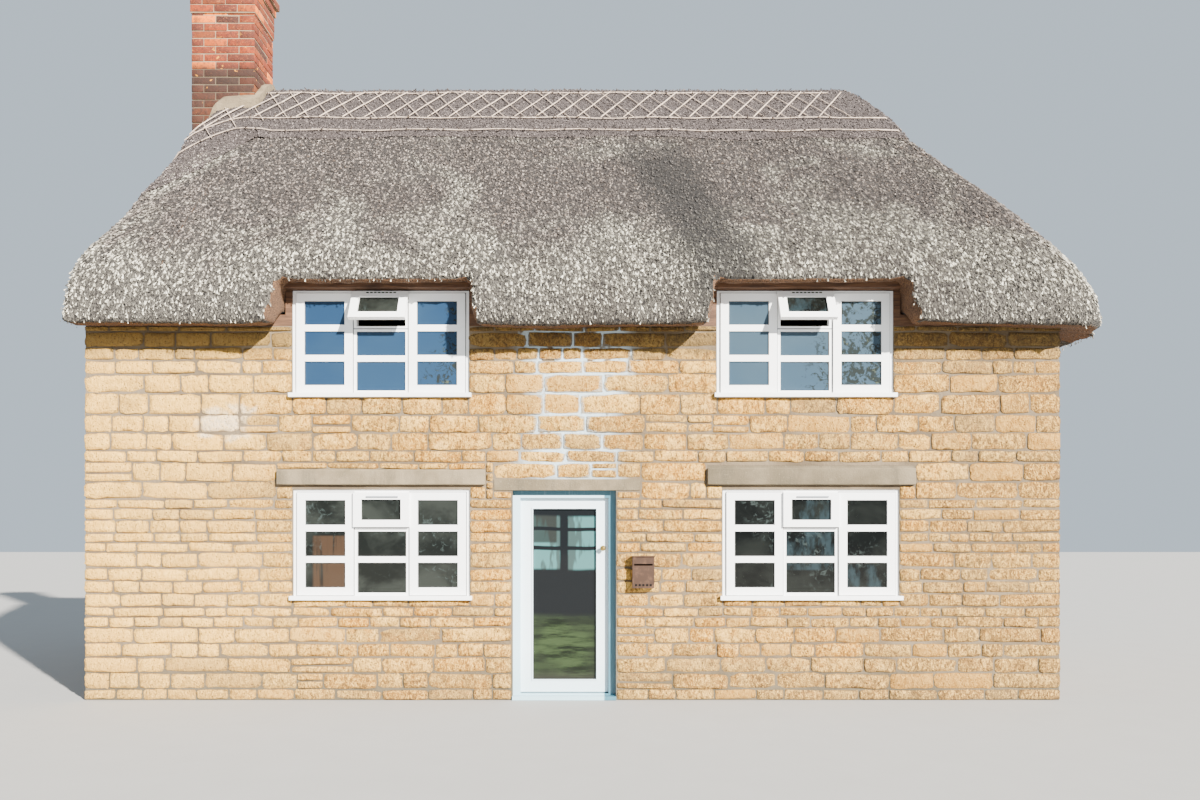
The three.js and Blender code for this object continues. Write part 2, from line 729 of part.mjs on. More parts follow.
// The space that a hood leaves clear over an upper window
function hoodCut(x) {
  const outline = new THREE.Shape();
  const low = eaves.lip - 120;
  outline.moveTo(x - hood.bottomHalf, low);
  outline.lineTo(x + hood.bottomHalf, low);
  outline.quadraticCurveTo(x + hood.topHalf + 5, eaves.lip + 100, x + hood.topHalf, hood.top - hood.corner);
  outline.quadraticCurveTo(x + hood.topHalf, hood.top, x + hood.topHalf - hood.corner, hood.top);
  outline.lineTo(x - hood.topHalf + hood.corner, hood.top);
  outline.quadraticCurveTo(x - hood.topHalf, hood.top, x - hood.topHalf, hood.top - hood.corner);
  outline.quadraticCurveTo(x - hood.topHalf - 5, eaves.lip + 100, x - hood.bottomHalf, low);
  return uprightSheet(outline, [], eaves.front - 200, wall.front + hood.depth);
}

const stackBox = (grow, z0, z1) =>
  boxSolid(stack.left - grow, stack.right + grow, stack.front - grow, stack.back + grow, z0, z1);

// Past the verge, and the strip between the verge and the outer face of the stack
function beyondVerge() {
  return boxSolid(eaves.left - 500, verge, eaves.front - 500, eaves.back + 500, 0, 8000);
}

function besideStack() {
  return boxSolid(verge - 100, stack.left + 100, stack.front - fit, stack.back + fit, gableTop - 10, 8000);
}

function addThatch() {
  let coat = toSolid(thatchBlock());
  // The soffit rises a little from the lip to the wall.
  const inside = { left: eaves.left + 300, right: wall.right, front: wall.front, back: wall.back };
  const soffitRise = eavesRing(inside, 0, innerRidge).map(({ x, y }) => [x, y, eaves.soffit]);
  const soffitFoot = outerRing.map(({ x, y }) => [x, y, eaves.lip - 0.5]);
  const soffit = toSolid(
    skinOver(
      [soffitFoot, soffitRise],
      () => [0, 0, eaves.lip - 0.5],
      () => [0, 0, eaves.soffit],
    ),
  );
  coat = coat.subtract(soffit).subtract(toSolid(roofVoid()).add(gableVoid())).subtract(beyondVerge());
  upperCentres.forEach((x) => (coat = coat.subtract(hoodCut(x))));
  // The surrounds stand in the cheeks with a hair's gap.
  const half = windowSpan / 2 + surround.studWidth + fit;
  upperCentres.forEach((x) => {
    coat = coat.subtract(
      boxSolid(x - half, x + half, wall.front - 400, wall.front + surround.headBack + fit, 3000, hood.top + fit),
    );
  });
  coat = coat.subtract(stackBox(fit, gableTop - 10, 8000)).subtract(besideStack());
  addCoatParts(coat);

  // The ridge cap: a second layer over the ridge, cut straight along its skirt and swept down
  // round the chimney at the left end
  const skirt = (i) => {
    const foot = outerRing[i];
    const near = Math.min(1, Math.max(0, (ridge.left + 640 - foot.ridgeX) / 320));
    const ease = near * near * (3 - 2 * near);
    return capStart + (capStartAtChimney - capStart) * ease;
  };
  const shares = [0, 0.12, 0.28, 0.44, 0.6, 0.74, 0.85, 0.93];
  const at = (i, t, lift) => {
    const share = skirt(i) + (1 - skirt(i)) * t;
    return thatchPoint(i, share, slopeHeight(share), lift);
  };
  const outerRows = shares.map((t) => outerRing.map((_, i) => at(i, t, capThick)));
  const capSolid = toSolid(
    skinOver(
      [outerRing.map((_, i) => at(i, 0, -40)), ...outerRows],
      (i) => [outerRing[i].ridgeX, 0, ridge.top - 900],
      (i) => [outerRing[i].ridgeX, 0, ridge.top + capThick],
    ),
  );
  const solid = capSolid
    .subtract(toSolid(thatchBlock(fit)))
    .subtract(beyondVerge())
    .subtract(besideStack())
    .subtract(stackBox(fit, wall.top, 8000));
  addMesh("ridge_cap", toGeometry(biggest(solid)), materials.capThatch);
  return solid;
}

// The coat in four parts with a hair's gap: they meet along the ridge, along the right hip's inner
// edges, and beside the chimney
function addCoatParts(coat) {
  const gap = fit / 2;
  const run = wall.right - plate.depth - innerRidge.right;
  const depth = wall.back - plate.depth;
  const length = Math.hypot(run, depth);
  const hipNormal = (side) => [depth / length, (-side * run) / length, 0];
  const hipOffset = (depth * innerRidge.right) / length;
  const keepHip = (solid, side) => solid.trimByPlane(hipNormal(side), hipOffset + gap);
  const dropHip = (solid, side) =>
    solid.trimByPlane(
      hipNormal(side).map((n) => -n),
      gap - hipOffset,
    );
  const body = coat.trimByPlane([1, 0, 0], endPart + gap);
  const slope = (side) => dropHip(body.trimByPlane([0, side, 0], gap), side);
  addMesh("front_thatch", toGeometry(slope(-1)), materials.thatch);
  addMesh("back_thatch", toGeometry(slope(1)), materials.thatch);
  addMesh("right_hip_thatch", toGeometry(keepHip(keepHip(body, -1), 1)), materials.thatch);
  addMesh("left_end_thatch", toGeometry(coat.trimByPlane([-1, 0, 0], gap - endPart)), materials.thatch);
}

// The largest body of a solid
function biggest(solid) {
  return solid.decompose().reduce((a, b) => (b.volume() > a.volume() ? b : a));
}

// The brick stack stands on the end wall and its breast; a mortar fillet seals it to the thatch
function addChimney(capSolid) {
  const hole = (z0, z1) => {
    const x = (stack.left + stack.right) / 2;
    const y = (stack.front + stack.back) / 2;
    const half = flue.side / 2;
    return boxSolid(x - half, x + half, y - half, y + half, z0, z1);
  };
  const shaft = stackBox(0, gableTop, stack.top);
  const band = stackBox(14, stack.bandZ, stack.top);
  addMesh("chimney_stack", toGeometry(shaft.add(band).subtract(hole(flue.bottom, 8000))), materials.brick);
  const courses = [
    stackBox(cap.step, stack.top, stack.top + cap.course),
    stackBox(2 * cap.step, stack.top + cap.course, stack.top + 2 * cap.course),
    stackBox(cap.step, stack.top + 2 * cap.course, cap.top),
  ];
  addMesh("chimney_cap", toGeometry(joined(courses).subtract(hole(7000, 8000))), materials.brick);

  const ring = stackBox(75, gableTop + 200, 7000).subtract(stackBox(fit, wall.top, 8000)).subtract(besideStack());
  const lifted = toSolid(thatchBlock(capThick + 70));
  const fillet = ring
    .intersect(lifted)
    .subtract(toSolid(thatchBlock(fit)))
    .subtract(capSolid.add(capSolid.translate([0, 0, fit])).add(capSolid.translate([0, 0, -fit])));
  addMesh("mortar_fillet", toGeometry(biggest(fillet)), materials.mortar);
}

addWalls();
addFloors();
addLintels();
addPlates();
addSurrounds();
addFrontWindow("upper_left_window", upperCentres[0], upperWindow, true);
addFrontWindow("upper_right_window", upperCentres[1], upperWindow, true);
addFrontWindow("lower_left_window", lowerCentres[0], lowerWindow, false);
addFrontWindow("lower_right_window", lowerCentres[1], lowerWindow, false);
addBackWindow("back_lower_left_window", backCentres[1], windowSpan, lowerWindow, 3, 3);
addBackWindow("back_lower_right_window", backCentres[0], windowSpan, lowerWindow, 3, 3);
addBackWindow("back_upper_left_window", backCentres[1], backUpper.span, backUpper, 2, 2);
addBackWindow("back_upper_right_window", backCentres[0], backUpper.span, backUpper, 2, 2);
addDoor();
addLetterBox();
addChimney(addThatch());

export default cottage;
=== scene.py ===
import math
import random
import bpy
from mathutils import Matrix, Vector, noise
from mathutils.bvhtree import BVHTree


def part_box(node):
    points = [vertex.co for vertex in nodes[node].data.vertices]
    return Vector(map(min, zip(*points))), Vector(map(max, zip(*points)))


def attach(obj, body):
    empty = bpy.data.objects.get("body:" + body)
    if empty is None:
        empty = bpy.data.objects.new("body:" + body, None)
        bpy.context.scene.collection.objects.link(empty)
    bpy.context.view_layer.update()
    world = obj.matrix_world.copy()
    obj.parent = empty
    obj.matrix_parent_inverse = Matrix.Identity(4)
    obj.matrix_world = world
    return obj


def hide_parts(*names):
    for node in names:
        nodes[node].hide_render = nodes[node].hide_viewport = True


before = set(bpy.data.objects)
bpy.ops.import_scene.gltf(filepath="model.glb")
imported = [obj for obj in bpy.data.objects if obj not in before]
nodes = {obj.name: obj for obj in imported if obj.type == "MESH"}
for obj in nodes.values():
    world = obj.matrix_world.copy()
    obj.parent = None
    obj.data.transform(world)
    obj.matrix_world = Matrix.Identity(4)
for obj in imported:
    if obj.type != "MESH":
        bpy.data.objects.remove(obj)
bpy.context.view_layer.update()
print("frame loaded,", len(nodes), "solids")

house = "cottage"
# the outer wall faces, in metres, from the solids themselves
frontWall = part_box("front_wall_left")[0].y
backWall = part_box("back_wall")[1].y
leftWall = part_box("left_gable_wall")[0].x
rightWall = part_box("right_end_wall")[1].x
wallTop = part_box("back_wall")[1].z


# small helpers for the modelling operators
def deselect():
    if bpy.context.mode != "OBJECT":
        bpy.ops.object.mode_set(mode="OBJECT")
    bpy.ops.object.select_all(action="DESELECT")


def activate(piece):
    deselect()
    piece.select_set(True)
    bpy.context.view_layer.objects.active = piece


def newPiece(name, mesh):
    piece = bpy.data.objects.new(name, mesh)
    bpy.context.scene.collection.objects.link(piece)
    return piece


def editAll(piece, operator, **settings):
    # an edit mode operator on all of the piece
    activate(piece)
    bpy.ops.object.mode_set(mode="EDIT")
    bpy.ops.mesh.select_all(action="SELECT")
    operator(**settings)
    bpy.ops.object.mode_set(mode="OBJECT")


def copyNode(node, name):
    # a merged copy of a solid, free to be shaped
    piece = newPiece(name, nodes[node].data.copy())
    piece.data.materials.clear()
    editAll(piece, bpy.ops.mesh.remove_doubles, threshold=0.0004)
    return piece


def applyModifier(piece, kind, **settings):
    activate(piece)
    modifier = piece.modifiers.new(kind.lower(), kind)
    for key, value in settings.items():
        setattr(modifier, key, value)
    bpy.ops.object.modifier_apply(modifier=modifier.name)


def pickFaces(piece, test):
    activate(piece)
    bpy.ops.object.mode_set(mode="EDIT")
    bpy.ops.mesh.select_all(action="DESELECT")
    bpy.ops.mesh.select_mode(type="FACE")
    bpy.ops.object.mode_set(mode="OBJECT")
    for face in piece.data.polygons:
        face.select = test(face.center, face.normal)
    bpy.ops.object.mode_set(mode="EDIT")


def deleteFaces(piece, test):
    pickFaces(piece, test)
    bpy.ops.mesh.delete(type="FACE")
    bpy.ops.object.mode_set(mode="OBJECT")


def freeze(piece):
    # place, turn and size go into the mesh
    activate(piece)
    bpy.ops.object.transform_apply(location=True, rotation=True, scale=True)


def cube(name, middle, size):
    deselect()
    bpy.ops.mesh.primitive_cube_add(size=1, location=middle)
    piece = bpy.context.object
    piece.name = name
    piece.scale = size
    freeze(piece)
    return piece


def smooth(piece, degrees=40):
    activate(piece)
    bpy.ops.object.shade_smooth_by_angle(angle=math.radians(degrees))


def discard(pieces):
    deselect()
    for piece in pieces:
        piece.select_set(True)
    bpy.ops.object.delete()


def join(pieces, name):
    deselect()
    for piece in pieces:
        piece.select_set(True)
    bpy.context.view_layer.objects.active = pieces[0]
    bpy.ops.object.join()
    pieces[0].name = name
    pieces[0].data.name = name
    return pieces[0]


def placeCopy(base, matrix, tint):
    # the tint is kept at every point, for the finish to read
    piece = newPiece(base.name, base.data.copy())
    piece.data.transform(matrix)
    layer = piece.data.attributes.new("tint", "FLOAT", "POINT")
    layer.data.foreach_set("value", [tint] * len(piece.data.vertices))
    return piece


def ease(low, high, value):
    t = min(1.0, max(0.0, (value - low) / (high - low)))
    return t * t * (3 - 2 * t)


# materials: sockets that can be added and multiplied, and one way to make a node
class Field:
    def __init__(self, finish, socket):
        self.finish = finish
        self.socket = socket

    def __add__(self, other):
        return self.finish.math("ADD", self, other)

    def __sub__(self, other):
        return self.finish.math("SUBTRACT", self, other)

    def __mul__(self, other):
        return self.finish.math("MULTIPLY", self, other)

    def __rsub__(self, other):
        return self.finish.math("SUBTRACT", other, self)

    __radd__ = __add__
    __rmul__ = __mul__


class Finish:
    def __init__(self, name, **fixed):
        self.material = bpy.data.materials.new(name)
        self.material.use_nodes = True
        self.tree = self.material.node_tree
        self.shader = self.tree.nodes["Principled BSDF"]
        self.tone = None
        for key, value in fixed.items():
            self.shader.inputs[key.replace("_", " ")].default_value = value

    def node(self, kind, settings=None, inputs=None, output=0):
        made = self.tree.nodes.new(kind)
        for key, value in (settings or {}).items():
            if key == "stops":
                self.setStops(made.color_ramp, value)
            else:
                setattr(made, key, value)
        for key, value in (inputs or {}).items():
            if isinstance(value, Field):
                self.tree.links.new(value.socket, made.inputs[key])
            else:
                made.inputs[key].default_value = value
        return Field(self, made.outputs[output])

    def setStops(self, ramp, stops):
        while len(ramp.elements) < len(stops):
            ramp.elements.new(0.5)
        for element, (position, colour) in zip(ramp.elements, stops):
            element.position = position
            element.color = (*colour, 1)

    def math(self, operation, a, b=0.0):
        return self.node("ShaderNodeMath", {"operation": operation}, {0: a, 1: b})

    def away(self, value, centre):
        return self.math("ABSOLUTE", value - centre)

    def place(self, scale=(1, 1, 1)):
        at = self.node("ShaderNodeTexCoord", output="Object")
        return self.node("ShaderNodeMapping", {}, {"Vector": at, "Scale": scale})

    def parts(self, axes="XYZ"):
        at = self.node("ShaderNodeTexCoord", output="Object")
        split = self.node("ShaderNodeSeparateXYZ", {}, {"Vector": at})
        return [Field(self, split.socket.node.outputs[axis]) for axis in axes]

    def noise(self, scale, detail=3, roughness=0.55, vector=None, distortion=0.0):
        inputs = {"Scale": scale, "Detail": detail, "Roughness": roughness, "Distortion": distortion}
        inputs["Vector"] = vector or self.place()
        return self.node("ShaderNodeTexNoise", {}, inputs)

    def cells(self, scale):
        return self.node("ShaderNodeTexVoronoi", {}, {"Scale": scale, "Vector": self.place()}, "Distance")

    def spread(self, value, low, high):
        # low becomes 0 and high becomes 1, eased
        settings = {"interpolation_type": "SMOOTHSTEP"}
        return self.node("ShaderNodeMapRange", settings, {"Value": value, 1: low, 2: high})

    def within(self, value, low, high, soft):
        return self.spread(value, low, low + soft) * self.spread(value, high, high - soft)

    def ramp(self, value, stops):
        return self.node("ShaderNodeValToRGB", {"stops": stops}, {"Fac": value})

    def mix(self, factor, a, b):
        inputs = {0: factor, 6: colour(a), 7: colour(b)}
        return self.node("ShaderNodeMix", {"data_type": "RGBA"}, inputs, 2)

    def bump(self, height, strength, distance):
        return self.node("ShaderNodeBump", {}, {"Height": height, "Strength": strength, "Distance": distance})

    def cloud(self, low, high, *look, **more):
        # noise, eased between low and high
        return self.spread(self.noise(*look, **more), low, high)

    def lay(self, factor, over):
        # one more layer of colour over the tone so far
        self.tone = self.mix(factor, self.tone, over)

    def stored(self, name):
        # a value that the mesh keeps at each point
        return self.node("ShaderNodeAttribute", {"attribute_name": name}, output="Fac")

    def finish(self, **links):
        for key, value in links.items():
            self.tree.links.new(value.socket, self.shader.inputs[key.replace("_", " ")])
        return self.material

    def done(self, height, strength, distance, **links):
        return self.finish(Base_Color=self.tone, Normal=self.bump(height, strength, distance), **links)


def colour(value):
    return (*value, 1) if isinstance(value, tuple) and len(value) == 3 else value


def dress(name, material):
    # the node's own faces take the material
    mesh = nodes[name].data
    mesh.materials.clear()
    mesh.materials.append(material)


def finishPiece(piece, material, slot, *replaced, body=house):
    piece.data.materials.clear()
    piece.data.materials.append(material)
    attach(piece, body)
    if replaced:
        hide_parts(*replaced)


# camera, light and stage
view = {"place": (0.105, -10.57, 1.465), "lens": 27.6, "sensor": 36.0, "shiftY": 0.1108}
light = {
    "sunTurn": (64, 0, 40), "sunPower": 24, "sunSoftness": 1.5, "sunColour": (1.0, 0.96, 0.89),
    "sky": (0.74, 0.87, 1.0), "skyPower": 0.85,
}


def setStage():
    lens = bpy.data.cameras.new("viewpoint")
    lens.lens = view["lens"]
    lens.sensor_width = view["sensor"]
    lens.shift_y = view["shiftY"]
    lens.clip_end = 300
    viewpoint = bpy.data.objects.new("viewpoint", lens)
    viewpoint.location = view["place"]
    viewpoint.rotation_euler = (math.radians(90), 0, 0)
    bpy.context.scene.collection.objects.link(viewpoint)
    bpy.context.scene.camera = viewpoint

    sun = bpy.data.lights.new("sun", "SUN")
    sun.energy = light["sunPower"]
    sun.angle = math.radians(light["sunSoftness"])
    sun.color = light["sunColour"]
    lamp = bpy.data.objects.new("sun", sun)
    lamp.rotation_euler = [math.radians(a) for a in light["sunTurn"]]
    bpy.context.scene.collection.objects.link(lamp)

    world = bpy.data.worlds.new("studio")
    bpy.context.scene.world = world
    world.use_nodes = True
    background = world.node_tree.nodes["Background"]
    background.inputs["Color"].default_value = (*light["sky"], 1)
    background.inputs["Strength"].default_value = light["skyPower"]

    deselect()
    bpy.ops.mesh.primitive_plane_add(size=120, location=(0, 0, -0.002))
    floor = bpy.context.object
    floor.name = "studio_floor"
    freeze(floor)
    paint = Finish("studio_floor", Roughness=0.9)
    speckle = paint.noise(3, 4)
    shade = paint.mix(speckle, (0.325, 0.32, 0.31), (0.355, 0.35, 0.34))
    floor.data.materials.append(paint.finish(Base_Color=shade))


setStage()
print("camera, sun and floor set")


# finishes
def onFront(f, y):
    # 1 on the front wall and 0 behind it
    return f.spread(y, -2.3, -2.45)


def freshPointing(f, x, z):
    # where the joints over the door were pointed afresh
    near = f.away(x, -0.12) + f.noise(2.5, 3) * 0.7
    return f.spread(near, 0.90, 0.62) * f.spread(z, 1.8, 2.05)


def mortarFinish():
    f = Finish("lime_mortar", Roughness=0.95)
    x, y, z = f.parts()
    grain = f.noise(170, 5, 0.7)
    patch = f.noise(1.6, 4)
    f.tone = f.mix(f.spread(patch, 0.35, 0.65), (0.105, 0.074, 0.042), (0.185, 0.138, 0.085))
    fresh = freshPointing(f, x, z) * onFront(f, y)
    f.lay(fresh * f.cloud(0.34, 0.42, 5, 3) * 0.95, (0.50, 0.62, 0.68))
    f.lay(f.spread(grain, 0.45, 0.8) * 0.5, (0.045, 0.034, 0.022))
    foot = f.spread(z, 0.5, 0.0)
    f.lay(foot * 0.45, (0.05, 0.05, 0.03))
    lift = grain * 0.4 + f.noise(34, 4)
    return f.done(lift, 0.8, 0.010)


def stoneFinish():
    f = Finish("buff_limestone", Roughness=0.9)
    x, y, z = f.parts()
    front = onFront(f, y)
    f.tone = f.ramp(f.stored("tint"), [
        (0.0, (0.46, 0.255, 0.050)), (0.15, (0.62, 0.345, 0.070)), (0.3, (0.40, 0.180, 0.014)),
        (0.45, (0.72, 0.410, 0.085)), (0.6, (0.50, 0.205, 0.006)), (0.72, (0.55, 0.310, 0.060)),
        (0.86, (0.26, 0.152, 0.042)), (1.0, (0.95, 0.600, 0.185)),
    ])
    f.lay(f.cloud(0.60, 0.68, 5, 2) * 0.4, (1.0, 0.620, 0.180))
    # golden, cream and iron-brown clouds in the stone
    clouds = f.noise(8.5, 5, 0.7, distortion=0.8)
    f.lay(f.spread(clouds, 0.50, 0.59) * 0.55, (0.44, 0.165, 0.002))
    f.lay(f.spread(clouds, 0.47, 0.37) * 0.5, (1.0, 0.580, 0.130))
    rust = f.cloud(0.62, 0.70, 9, 4, 0.7, distortion=1.4)
    f.lay(rust * 0.75, (0.19, 0.056, 0.002))
    # cleaner stone to the left, drab and grey towards the lower right
    clean = f.spread(x + f.noise(0.8, 3) * 1.5, -1.0, -3.2) * front
    f.lay(clean * 0.72, (1.0, 0.570, 0.110))
    drab = f.spread(f.noise(0.8, 4) + f.spread(x - z * 0.5, 0.0, 4.0) * 0.25, 0.54, 0.68)
    f.lay(drab * 0.5, (0.165, 0.098, 0.030))
    foot = f.spread(z + f.noise(3, 3) * 0.6, 0.95, 0.25)
    f.lay(foot * 0.4, (0.12, 0.088, 0.040))
    # a few stones limewashed long ago
    wash = f.spread(f.away(x, -3.18) + f.noise(5, 4) * 0.5, 0.52, 0.42)
    wash = wash * f.spread(f.away(z, 2.42) + f.noise(6, 3) * 0.4, 0.36, 0.28) * front
    f.lay(wash * 0.7, (0.95, 0.780, 0.560))
    # tooled furrows, pits, and a dark arris: worn edges, with painted shade where each stone meets its joint
    furrow = f.noise(36, 5, 0.74, vector=f.place((1.3, 1, 0.75)), distortion=0.6)
    grit = f.noise(110, 4, 0.75)
    pits = f.spread(f.cells(38), 0.28, 0.08)
    f.lay(f.spread(furrow, 0.50, 0.39) * (0.75 - clean * 0.48), (0.085, 0.042, 0.010))
    f.lay(f.spread(furrow * 0.5 + grit * 0.5, 0.51, 0.57) * 0.60, (1.0, 0.610, 0.160))
    f.lay(pits * 0.55, (0.060, 0.030, 0.008))
    # painted shade round each stone's rim, with wear
    f.lay(f.spread(f.stored("rim"), 0.7, 1.0) * 0.45, (0.105, 0.060, 0.020))
    # some stones are ochre all over, and a few are drab
    ochre = f.spread(f.stored("tint"), 0.76, 0.98) * (0.55 - clean * 0.35)
    f.lay(ochre, (0.46, 0.205, 0.014))
    f.lay(f.spread(f.stored("tint"), 0.16, 0.02) * 0.35, (0.22, 0.140, 0.055))
    # the fresh pointing is smeared over the edges of its stones
    fresh = freshPointing(f, x, z) * f.spread(f.stored("rim") + f.noise(30, 3) * 0.6, 1.02, 1.22)
    f.lay(fresh * front * 0.45, (0.48, 0.56, 0.58))
    # painted shadow of the eaves: the stones darkened along the top of the front wall
    eavesShade = f.spread(z + f.noise(4, 3) * 0.2, 3.02, 3.22) * front
    f.lay(eavesShade * 0.68, (0.050, 0.034, 0.012))
    lift = furrow * 1.1 + grit * 0.4 - pits * 0.5
    return f.done(lift, 1.0, 0.022)


def lintelFinish():
    f = Finish("dressed_stone", Roughness=0.88)
    wash = f.noise(2.2, 5, 0.6)
    f.tone = f.mix(f.spread(wash, 0.35, 0.7), (0.138, 0.106, 0.060), (0.25, 0.194, 0.118))
    streak = f.noise(8, 4, 0.6, vector=f.place((1, 1, 0.18)))
    f.lay(f.spread(streak, 0.48, 0.70) * 0.5, (0.068, 0.056, 0.036))
    spots = f.cloud(0.60, 0.75, 70, 3)
    f.lay(spots * 0.5, (0.32, 0.27, 0.175))
    # the right lintel has weathered darker
    f.lay(f.spread(f.parts("X")[0], 0.3, 1.3) * 0.28, (0.036, 0.028, 0.016))
    lift = f.noise(90, 5, 0.7) + wash * 0.8
    return f.done(lift, 0.7, 0.008)


def brickFinish():
    f = Finish("old_brick", Roughness=0.88)
    z = f.parts("Z")[0]
    f.tone = f.ramp(f.stored("tint"), [
        (0.0, (0.15, 0.018, 0.003)), (0.18, (0.27, 0.038, 0.002)), (0.3, (0.040, 0.010, 0.005)),
        (0.46, (0.46, 0.080, 0.001)), (0.58, (0.085, 0.014, 0.005)), (0.72, (0.22, 0.030, 0.003)),
        (0.84, (0.030, 0.010, 0.007)), (0.92, (0.34, 0.055, 0.003)), (1.0, (0.95, 0.210, 0.004)),
    ])
    face = f.noise(24, 5, 0.65)
    f.lay(f.spread(face, 0.48, 0.60) * 0.6, (0.060, 0.016, 0.008))
    f.lay(f.cloud(0.56, 0.68, 60, 3, 0.7) * 0.35, (0.60, 0.160, 0.030))
    # the lower courses are dark with smoke and lichen
    low = f.spread(z + f.noise(2.5, 3) * 0.16, 6.78, 6.62)
    f.lay(low * 0.85, (0.018, 0.008, 0.004))
    lichen = f.cloud(0.66, 0.70, 11, 3, 0.6) * f.spread(z, 7.1, 6.8)
    f.lay(lichen * 0.9, (0.60, 0.230, 0.010))
    bloom = f.cloud(0.60, 0.72, 16, 4, 0.7, distortion=0.5)
    f.lay(bloom * (1 - low * 0.9) * 0.3, (0.60, 0.26, 0.08))
    lift = face + f.noise(120, 4) * 0.35
    return f.done(lift, 0.9, 0.010)


def jointFinish():
    f = Finish("chimney_mortar", Roughness=0.95)
    f.tone = f.mix(f.noise(9, 4), (0.110, 0.078, 0.046), (0.50, 0.36, 0.22))
    low = f.spread(f.parts("Z")[0], 6.72, 6.58)
    f.lay(low * 0.75, (0.050, 0.034, 0.020))
    return f.done(f.noise(120, 4, 0.7), 0.7, 0.005)


def filletFinish():
    f = Finish("trowelled_mortar", Roughness=0.92)
    wash = f.noise(5, 5, 0.6, distortion=0.4)
    f.tone = f.mix(f.spread(wash, 0.3, 0.7), (0.105, 0.076, 0.043), (0.23, 0.175, 0.105))
    spots = f.cloud(0.60, 0.7, 30, 3)
    f.lay(spots * 0.45, (0.10, 0.085, 0.06))
    lift = wash * 1.2 + f.noise(70, 5) * 0.5
    return f.done(lift, 0.9, 0.014)


def thatchShade(f):
    # the coat's weathering at large: paler and lichened below, brown above, with a damp run that also paints
    # the shade where the coat bends over the right hood
    x, y, z = f.parts()
    height = f.spread(z, 4.75, 3.55)
    patches = f.noise(1.1, 5, 0.62, vector=f.place((1, 1, 0.6)), distortion=0.6)
    pale = f.spread(patches + height * 0.30 - f.spread(x, 1.6, 4.2) * 0.05, 0.50, 0.74)
    streak = f.cloud(0.50, 0.66, 1.7, 4, 0.6, vector=f.place((1, 1, 0.2)), distortion=0.3)
    # a dark run over the right hood's left corner: damp, and painted shade where the coat bends
    lean = f.away(x + (z - 3.4) * 0.30 + f.noise(2.2, 3) * 0.5, 1.50)
    dampAndBendShade = f.spread(lean, 0.52, 0.12) * f.spread(y, -0.7, -1.3) * f.spread(z, 5.9, 5.0)
    return pale, streak, dampAndBendShade


def thatchFinish():
    # the shadowed depth between the flakes
    f = Finish("weathered_thatch", Roughness=0.97)
    pale, streak, dampAndBendShade = thatchShade(f)
    at = f.place((1, 1, 0.5))
    stipple = f.noise(62, 4, 0.75, vector=at, distortion=0.3)
    fine = f.noise(150, 3, 0.75, vector=f.place((1, 1, 0.4)))
    grain = stipple * 0.65 + fine * 0.35
    f.tone = f.mix(f.spread(grain, 0.44, 0.58), (0.012, 0.010, 0.009), (0.090, 0.074, 0.066))
    f.lay(pale * f.spread(grain, 0.46, 0.56) * 0.7, (0.200, 0.184, 0.150))
    f.lay(streak * 0.4, (0.028, 0.020, 0.017))
    f.lay(dampAndBendShade * 0.75, (0.020, 0.018, 0.016))
    lift = stipple + fine * 0.5
    return f.done(lift, 1.0, 0.05)


def flakeFinish():
    # the tips that catch the light: straw brown, silver and cream lichen
    f = Finish("thatch_flakes", Roughness=0.95)
    pale, streak, dampAndBendShade = thatchShade(f)
    f.tone = f.ramp(f.stored("tint"), [
        (0.0, (0.034, 0.027, 0.024)), (0.28, (0.082, 0.067, 0.059)), (0.55, (0.145, 0.120, 0.106)),
        (0.82, (0.270, 0.222, 0.190)), (0.95, (0.420, 0.350, 0.300)), (1.0, (0.150, 0.102, 0.074)),
    ])
    cream = f.ramp(f.stored("tint"), [
        (0.0, (0.034, 0.031, 0.026)), (0.2, (0.140, 0.130, 0.106)), (0.5, (0.380, 0.352, 0.284)),
        (0.8, (0.820, 0.765, 0.610)), (0.97, (1.0, 0.960, 0.790)), (1.0, (0.180, 0.172, 0.145)),
    ])
    f.lay(pale * 0.9, cream)
    fine = f.noise(140, 3, 0.75)
    f.lay(f.spread(fine, 0.52, 0.42) * 0.5, (0.026, 0.022, 0.019))
    f.lay(streak * 0.3, (0.062, 0.047, 0.040))
    f.lay(dampAndBendShade * 0.78, (0.036, 0.034, 0.032))
    return f.done(fine, 0.8, 0.01)


def ridgeFinish():
    f = Finish("ridge_straw", Roughness=0.97)
    stalks = f.noise(95, 4, 0.72, vector=f.place((1, 1, 0.2)), distortion=0.3)
    stipple = f.noise(60, 4, 0.72, vector=f.place((1, 1, 0.55)))
    grain = stalks * 0.6 + stipple * 0.4
    f.tone = f.mix(f.spread(grain, 0.43, 0.57), (0.018, 0.013, 0.012), (0.130, 0.103, 0.097))
    wear = f.noise(1.4, 4, 0.6)
    f.lay(f.spread(wear, 0.5, 0.68) * 0.4, (0.060, 0.044, 0.038))
    f.lay(f.spread(stipple, 0.56, 0.66) * 0.4, (0.33, 0.270, 0.245))
    lift = stalks + stipple * 0.6
    return f.done(lift, 1.0, 0.04)


def capFlakeFinish():
    f = Finish("ridge_flakes", Roughness=0.95)
    f.tone = f.ramp(f.stored("tint"), [
        (0.0, (0.030, 0.023, 0.021)), (0.35, (0.082, 0.065, 0.061)), (0.7, (0.150, 0.121, 0.114)),
        (0.93, (0.290, 0.242, 0.225)), (1.0, (0.46, 0.390, 0.350)),
    ])
    fine = f.noise(140, 3, 0.75)
    f.lay(f.spread(fine, 0.52, 0.42) * 0.64, (0.035, 0.026, 0.022))
    return f.done(fine, 0.8, 0.01)


def strawEndFinish():
    # cut ends and underside, sheltered from the weather
    f = Finish("sheltered_straw", Roughness=0.95)
    ends = f.noise(120, 3, 0.7)
    band = f.noise(4, 3)
    f.tone = f.mix(f.spread(ends, 0.40, 0.60), (0.030, 0.013, 0.006), (0.20, 0.100, 0.044))
    f.lay(f.spread(band, 0.45, 0.65) * 0.5, (0.065, 0.033, 0.016))
    return f.done(ends, 1.0, 0.014)


